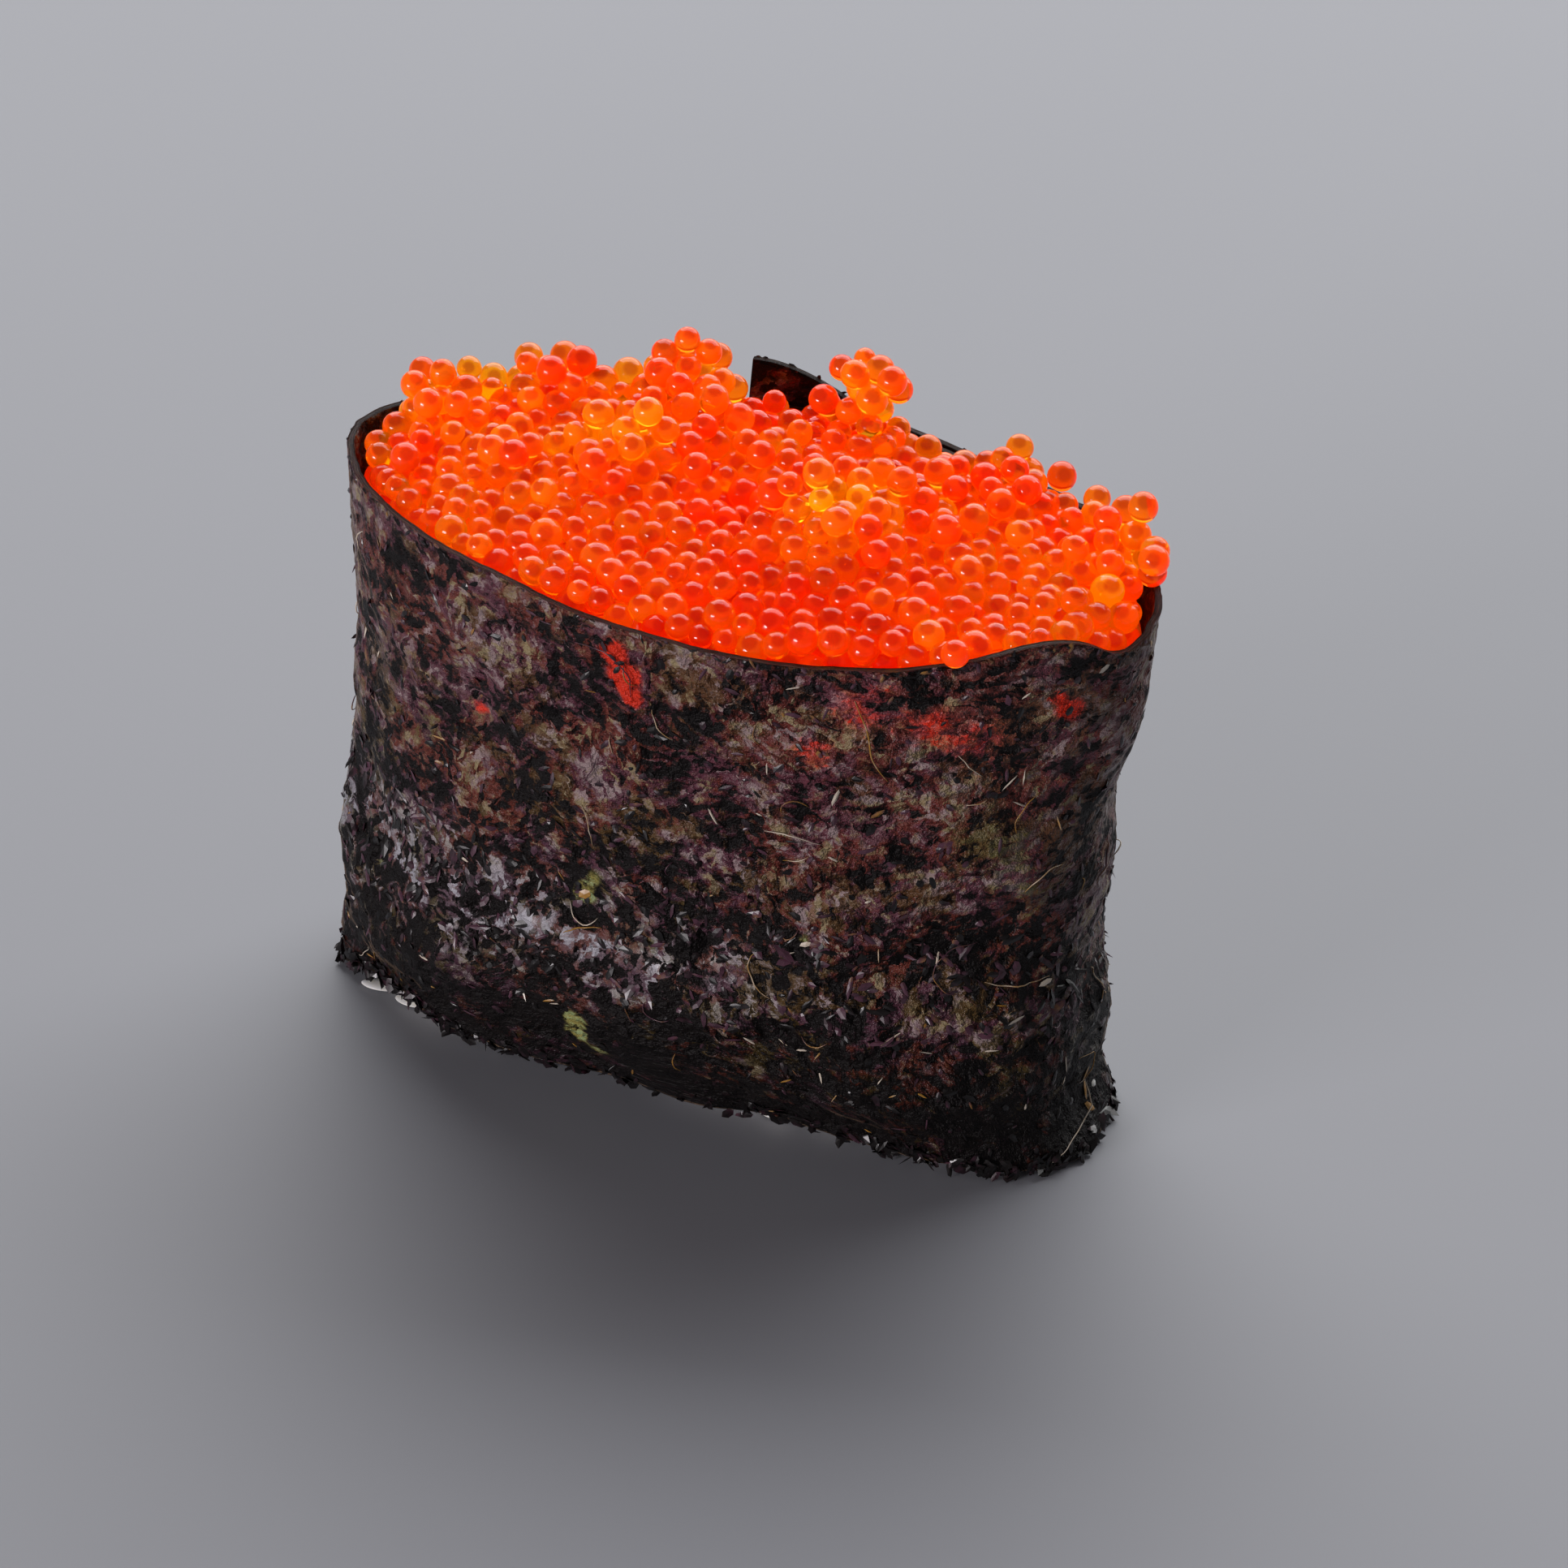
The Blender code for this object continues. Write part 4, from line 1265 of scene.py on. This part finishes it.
def wrap_flecks(tree, where, marks):
    """The flecks and clouds that mottle the seaweed, and the lightness that they add up to, lowered by
    painted shade at the foot, raised by painted light towards the top, and given painted sheen contrast in
    the damp band.
    """
    combed = combed_group()
    bend = soft_noise(tree, where, 1.0, 3.0, 0.6).outputs["Color"]
    bent = move(tree, "MULTIPLY_ADD", move(tree, "SUBTRACT", bend, (0.5, 0.5, 0.5)), (1.3, 1.3, 0.0), where)
    fine = use(tree, combed, {"Vector": bent, "Patch": 2.9, "Length": 1.0, "Width": 0.4})
    broad = use(tree, combed, {"Vector": bent, "Patch": 5.5, "Length": 2.6, "Width": 1.0})
    mottle = clouds(tree, where, 0.7, 4.0, 0.68)
    patches = clouds(tree, where, 0.2, 2.0, 0.6)
    light = plus(tree, calc(tree, "MULTIPLY", broad["Value"], 0.14), fine["Value"], 0.26)
    light = plus(tree, light, mottle[0], 1.0)
    light = plus(tree, light, patches[2], 0.9, middle=0.5)
    # Painted shade lowers the lightness at the foot; painted light raises it towards the top and the right
    light = plus(tree, plus(tree, light, marks["shade"], -0.12), marks["rosy"], 0.06)
    # Painted sheen: stronger contrast of the flecks in the damp band
    contrast = plus(tree, 1.12, marks["moist"], 0.65)
    return fine, broad, mottle, patches, plus(tree, 0.7, light, contrast, middle=0.7)


def wrap_colour(tree, where, marks, settings):
    """Colour, relief and lightness of near-black flecks, mottled and combed every way."""
    fine, broad, mottle, patches, light = wrap_flecks(tree, where, marks)
    brown = fade(tree, calc(tree, "ADD", mottle[1], patches[0]), 0.92, 1.08)
    green = fade(tree, calc(tree, "ADD", mottle[2], patches[1]), 1.01, 1.12)
    body = mix(tree, green, mix(tree, brown, settings.purple, settings.maroon), settings.olive)
    body = mix(tree, calc(tree, "MULTIPLY", marks["rosy"], 0.22), body, ROSY)
    colour = mix(tree, fade(tree, light, 0.63, 0.84), settings.dark, body)
    pale = mix(tree, fade(tree, mottle[1], 0.44, 0.58), settings.pale, TAN)
    # Painted sheen: pale strokes turn silver in the damp band, and there are more of them
    pale = mix(tree, marks["moist"], pale, PAINTED_SHEEN)
    stroke = fade(tree, plus(tree, light, marks["moist"], 0.05), 0.81, 0.98, 0.0, 0.95)
    fleck = fade(tree, calc(tree, "ADD", fine["Tint"], broad["Tint"]), 0.6, 1.2, 0.1, 1.0)
    colour = mix(tree, calc(tree, "MULTIPLY", stroke, fleck), colour, pale)
    relief = plus(tree, calc(tree, "MULTIPLY", broad["Height"], 0.9), fine["Height"], 0.5)
    return colour, plus(tree, relief, mottle[0], 1.2), light


def ragged(tree, value, edge):
    """A mask with a ragged edge from a value stored on the mesh."""
    torn = plus(tree, value, edge, 1.2, middle=0.7)
    return calc(tree, "MULTIPLY", fade(tree, torn, 0.35, 0.8), fade(tree, value, 0.0, 0.2))


def wrap_material(settings):
    """Damp toasted seaweed: near black and fibrous, glossy where damp, with painted silver sheen, painted
    shade at its foot and inside, a painted sheen along its outline and a faint painted glow at its thin
    spots.
    """
    material, tree, shader = new_material("seaweed_damp")
    marks = {name: stored(tree, name) for name in ("thin_spot", "green_spot", "moist", "shade", "rosy")}
    colour, relief, edge = wrap_colour(tree, strip_place(tree), marks, settings)
    # Painted shade: the colour goes towards the ground colour at the foot and on the inner face
    colour = mix(tree, calc(tree, "MULTIPLY", marks["shade"], 0.6), colour, settings.dark)
    lime = mix(tree, fade(tree, edge, 0.6, 0.8), LIME_DEEP, LIME)
    lime = mix(tree, fade(tree, marks["green_spot"], 0.5, 0.75), MOSS, lime)
    green = calc(tree, "MULTIPLY", ragged(tree, marks["green_spot"], edge), 0.85)
    colour = mix(tree, green, colour, lime)
    blush = fade(tree, marks["thin_spot"], 0.1, 0.6)
    blush = calc(tree, "MULTIPLY", blush, fade(tree, edge, 0.6, 0.85, 0.0, 0.8))
    thin = ragged(tree, marks["thin_spot"], edge)
    colour = mix(tree, thin, mix(tree, blush, colour, BLUSH), ROE_THROUGH)
    edge_on = put(tree, "LayerWeight", {"Blend": 0.5}).outputs["Facing"]
    wet = fade(tree, edge, 0.64, 0.78)
    inputs = {
        # Painted sheen: paler brown where the surface is seen edge-on, along the outline
        "Base Color": mix(tree, fade(tree, edge_on, 0.8, 1.0, 0.0, 0.8), colour, PAINTED_EDGE_SHEEN),
        "Roughness": mix_value(tree, wet, 0.6, 0.3),
        "Specular IOR Level": 0.2,
        "Coat Weight": calc(tree, "MULTIPLY", wet, plus(tree, 0.05, marks["moist"], 0.8)),
        "Coat Roughness": 0.25,
        "Coat IOR": 1.5,
        "Normal": bumped(tree, calc(tree, "MULTIPLY", relief, 0.9)),
        # Painted glow: the thin spots give off a faint red light
        "Emission Color": mix(tree, thin, (0.0, 0.0, 0.0), ROE_GLOW),
        "Emission Strength": 0.08,
    }
    fill(tree, shader, inputs)
    return material


def shred_material(settings):
    """Flakes and hairs of dried seaweed: from near black through brown and amber to straw."""
    material, tree, shader = new_material("seaweed_shreds")
    where = object_place(tree)
    tone = plus(tree, stored(tree, "tone"), cloud(tree, where, 1500.0), 0.5, middle=0.5)
    colour = mix(tree, fade(tree, tone, 0.05, 0.35), settings.dark, settings.purple)
    colour = mix(tree, fade(tree, tone, 0.35, 0.6), colour, (0.34, 0.17, 0.025))
    inputs = {
        "Base Color": mix(tree, fade(tree, tone, 0.65, 0.95), colour, (0.62, 0.54, 0.44)),
        "Roughness": fade(tree, cloud(tree, where, 900.0), 0.3, 0.7, 0.26, 0.42),
        "Specular IOR Level": 0.5,
    }
    fill(tree, shader, inputs)
    return material


def egg_material(settings, name, clear, glow):
    """A clear skin round coloured yolk: bright, wet and see-through, with a painted glow and a painted dark
    spot of shade on one side.
    """
    material, tree, shader = new_material(name)
    warmth = stored(tree, "warmth")
    shade = mix(tree, fade(tree, warmth, 0.1, 0.55), settings.red, settings.orange)
    shade = mix(tree, fade(tree, warmth, 0.5, 0.95), shade, settings.amber)
    # Painted shade: a dark red spot on the side of each egg that faces up and towards the front, standing in
    # for the darker refracted image under its highlight
    painted_spot = fade(tree, stored(tree, "crown"), 0.80, 0.95, 0.0, 0.6)
    shade = mix(tree, painted_spot, shade, (0.50, 0.045, 0.006))
    inputs = {
        "Base Color": shade,
        "Roughness": fade(tree, cloud(tree, object_place(tree), 1400.0), 0.3, 0.7, 0.05, 0.14),
        "IOR": 1.37,
        "Transmission Weight": clear,
        # Painted glow: each egg gives off light in its own deep colour
        "Emission Color": mix(tree, 1.0, shade, shade, "MULTIPLY"),
        "Emission Strength": glow,
    }
    fill(tree, shader, inputs)
    return material


def roe_core_material():
    """The deep colour between the eggs, with painted shade darker between its bumps and a painted glow."""
    material, tree, shader = new_material("roe_deep")
    where = object_place(tree)
    away = put(tree, "TexVoronoi", {"Vector": where, "Scale": 520.0}, feature="F1").outputs["Distance"]
    warm = fade(tree, cloud(tree, where, 160.0), 0.4, 0.62)
    middle = mix(tree, warm, (0.86, 0.07, 0.003), (0.88, 0.16, 0.005))
    # Painted shade: darker red towards the edges of each bump, in the gaps between them
    shade = mix(tree, fade(tree, away, 0.1, 0.7), middle, (0.75, 0.022, 0.001))
    inputs = {
        "Base Color": shade,
        "Roughness": fade(tree, cloud(tree, where, 600.0), 0.3, 0.7, 0.15, 0.35),
        "Normal": bumped(tree, calc(tree, "MULTIPLY", away, -0.8), 0.7),
        # Painted glow in the core's own colour
        "Emission Color": shade,
        "Emission Strength": 0.5,
    }
    fill(tree, shader, inputs)
    return material


def rice_material(settings):
    """Cooked rice: white, a little see-through and moist."""
    material, tree, shader = new_material("rice_cooked")
    where = object_place(tree)
    patches = cloud(tree, where, 420.0, 3.0)
    inputs = {
        "Base Color": mix(tree, fade(tree, patches, 0.35, 0.7), settings.colour, (0.93, 0.91, 0.86)),
        "Roughness": fade(tree, cloud(tree, where, 900.0), 0.3, 0.7, 0.25, 0.5),
        "Subsurface Weight": 0.5,
        "Subsurface Radius": (1.0, 0.9, 0.7),
        "Subsurface Scale": 1.0 * MM,
        "Normal": bumped(tree, calc(tree, "MULTIPLY", patches, 0.25), 0.4),
    }
    fill(tree, shader, inputs)
    return material


def floor_material(settings):
    """A plain, matt, pale floor."""
    material, tree, shader = new_material("floor_plain")
    paler = tuple(1.06 * value for value in settings.floor)
    colour = mix(tree, cloud(tree, object_place(tree), 9.0), settings.floor, paler)
    fill(tree, shader, {"Base Color": colour, "Roughness": 0.6})
    return material


# The stage


# The camera: where it stands round the object's middle, how far from there mid-picture lies, roll and lens
AZIMUTH = math.radians(21.5)
ELEVATION = math.radians(32.5)
DISTANCE = 350.0 * MM
MIDDLE = Vector((0.0, 0.0, 18.0)) * MM
PIXELS_PER_MM = 19.93
AIM_OFFSET = (61.0 / PIXELS_PER_MM * MM, 8.0 / PIXELS_PER_MM * MM)
ROLL = math.radians(2.7)
LENS = 129.98

# The floor's reach, the sky's light, and the lamps: place, width and height in metres, and colour
FLOOR_REACH = 3.0
SKY_COLOUR = (1.0, 0.94, 0.94, 1.0)
SKY_STRENGTH = 0.11
LAMP_AIM = (0.0, 0.0, 20 * MM)
LAMPS = {
    "back": ((-0.12, 0.60, 0.50), (1.3, 0.8), (1.0, 1.0, 1.0)),
    "front": ((-0.30, -0.62, 0.12), (0.30, 0.14), (1.0, 0.94, 0.97)),
}


def add_camera():
    """The camera at the picture's height and side."""
    level_reach = math.cos(ELEVATION)
    back = Vector((math.sin(AZIMUTH) * level_reach, -math.cos(AZIMUTH) * level_reach, math.sin(ELEVATION)))
    place = MIDDLE + back * DISTANCE
    level = (-back).to_track_quat("-Z", "Y") @ Euler((0, 0, ROLL)).to_quaternion()
    aim = MIDDLE + level @ Vector((*AIM_OFFSET, 0.0))
    data = bpy.data.cameras.new("camera")
    data.lens = LENS
    data.sensor_width = 36.0
    data.clip_start = 0.01
    camera = add_object("camera", data)
    forward = level @ Vector((0.0, 0.0, -1.0))
    camera.location = place
    camera.rotation_mode = "QUATERNION"
    camera.rotation_quaternion = forward.rotation_difference(aim - place) @ level
    bpy.context.scene.camera = camera


def add_light(name, place, size, power, colour):
    """A soft light of a width and height, turned to the object, which itself doesn't show."""
    data = bpy.data.lights.new(name, "AREA")
    data.shape = "RECTANGLE"
    data.size, data.size_y = size
    data.energy = power
    data.color = colour
    lamp = add_object(name, data)
    lamp.location = place
    lamp.rotation_mode = "QUATERNION"
    lamp.rotation_quaternion = (Vector(LAMP_AIM) - Vector(place)).to_track_quat("-Z", "Y")
    lamp.visible_camera = False


def build_stage(settings):
    """Floor, sky light, lamps and camera."""
    mesh = bpy.data.meshes.new("floor")
    corners = ((-1, -1), (1, -1), (1, 1), (-1, 1))
    mesh.from_pydata([(FLOOR_REACH * x, FLOOR_REACH * y, 0) for x, y in corners], [], [(0, 1, 2, 3)])
    mesh.materials.append(floor_material(settings))
    floor = add_object("floor", mesh)
    world = bpy.data.worlds.new("studio")
    world.use_nodes = True
    sky = world.node_tree.nodes["Background"]
    sky.inputs["Color"].default_value = SKY_COLOUR
    sky.inputs["Strength"].default_value = SKY_STRENGTH
    bpy.context.scene.world = world
    for name, (place, size, colour) in LAMPS.items():
        add_light(name, place, size, getattr(settings, name), colour)
    add_camera()
    bpy.context.scene.view_settings.view_transform = "Standard"


# Operators, panel and registration


class GUNKAN_OT_wrap(Operator):
    """Build the seaweed wrap"""

    bl_idname = "gunkan.wrap"
    bl_label = "Seaweed wrap"

    def execute(self, context):
        build_wrap(context.scene.gunkan_wrap)
        return {"FINISHED"}


class GUNKAN_OT_shreds(Operator):
    """Scatter flakes and threads over the wrap"""

    bl_idname = "gunkan.shreds"
    bl_label = "Flakes and threads"

    def execute(self, context):
        build_flakes(context.scene.gunkan_shreds, context.scene.gunkan_wrap)
        build_threads(context.scene.gunkan_shreds, context.scene.gunkan_wrap)
        return {"FINISHED"}


class GUNKAN_OT_roe(Operator):
    """Build the heap of roe"""

    bl_idname = "gunkan.roe"
    bl_label = "Roe"

    def execute(self, context):
        build_roe(context.scene.gunkan_roe, context.scene.gunkan_wrap.sheet)
        return {"FINISHED"}


class GUNKAN_OT_rice(Operator):
    """Build the pressed rice"""

    bl_idname = "gunkan.rice"
    bl_label = "Rice"

    def execute(self, context):
        build_rice(context.scene.gunkan_rice, context.scene.gunkan_wrap.sheet)
        return {"FINISHED"}


class GUNKAN_OT_stage(Operator):
    """Build the floor, the lights and the camera"""

    bl_idname = "gunkan.stage"
    bl_label = "Stage"

    def execute(self, context):
        build_stage(context.scene.gunkan_stage)
        return {"FINISHED"}


OPERATORS = (GUNKAN_OT_wrap, GUNKAN_OT_shreds, GUNKAN_OT_roe, GUNKAN_OT_rice, GUNKAN_OT_stage)


class GUNKAN_PT_sushi(Panel):
    """Lists the pieces of the gunkan sushi"""

    bl_label = "Gunkan Sushi"
    bl_idname = "GUNKAN_PT_sushi"
    bl_space_type = "VIEW_3D"
    bl_region_type = "UI"
    bl_category = "Gunkan Sushi"

    def draw(self, context):
        for operator, name in zip(OPERATORS, SETTINGS):
            box = self.layout.box()
            box.operator(operator.bl_idname)
            settings = getattr(context.scene, name)
            for key in settings.__annotations__:
                box.prop(settings, key)


SETTINGS = {
    "gunkan_wrap": GunkanWrapSettings,
    "gunkan_shreds": GunkanShredSettings,
    "gunkan_roe": GunkanRoeSettings,
    "gunkan_rice": GunkanRiceSettings,
    "gunkan_stage": GunkanStageSettings,
}


def register():
    for cls in (*SETTINGS.values(), *OPERATORS, GUNKAN_PT_sushi):
        bpy.utils.register_class(cls)
    for name, cls in SETTINGS.items():
        setattr(bpy.types.Scene, name, PointerProperty(type=cls))


def unregister():
    for name in SETTINGS:
        delattr(bpy.types.Scene, name)
    for cls in reversed((*SETTINGS.values(), *OPERATORS, GUNKAN_PT_sushi)):
        bpy.utils.unregister_class(cls)


def main():
    """Registers the add-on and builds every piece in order."""
    register()
    bpy.ops.gunkan.wrap()
    bpy.ops.gunkan.shreds()
    bpy.ops.gunkan.rice()
    bpy.ops.gunkan.roe()
    bpy.ops.gunkan.stage()


if __name__ == "__main__":
    main()
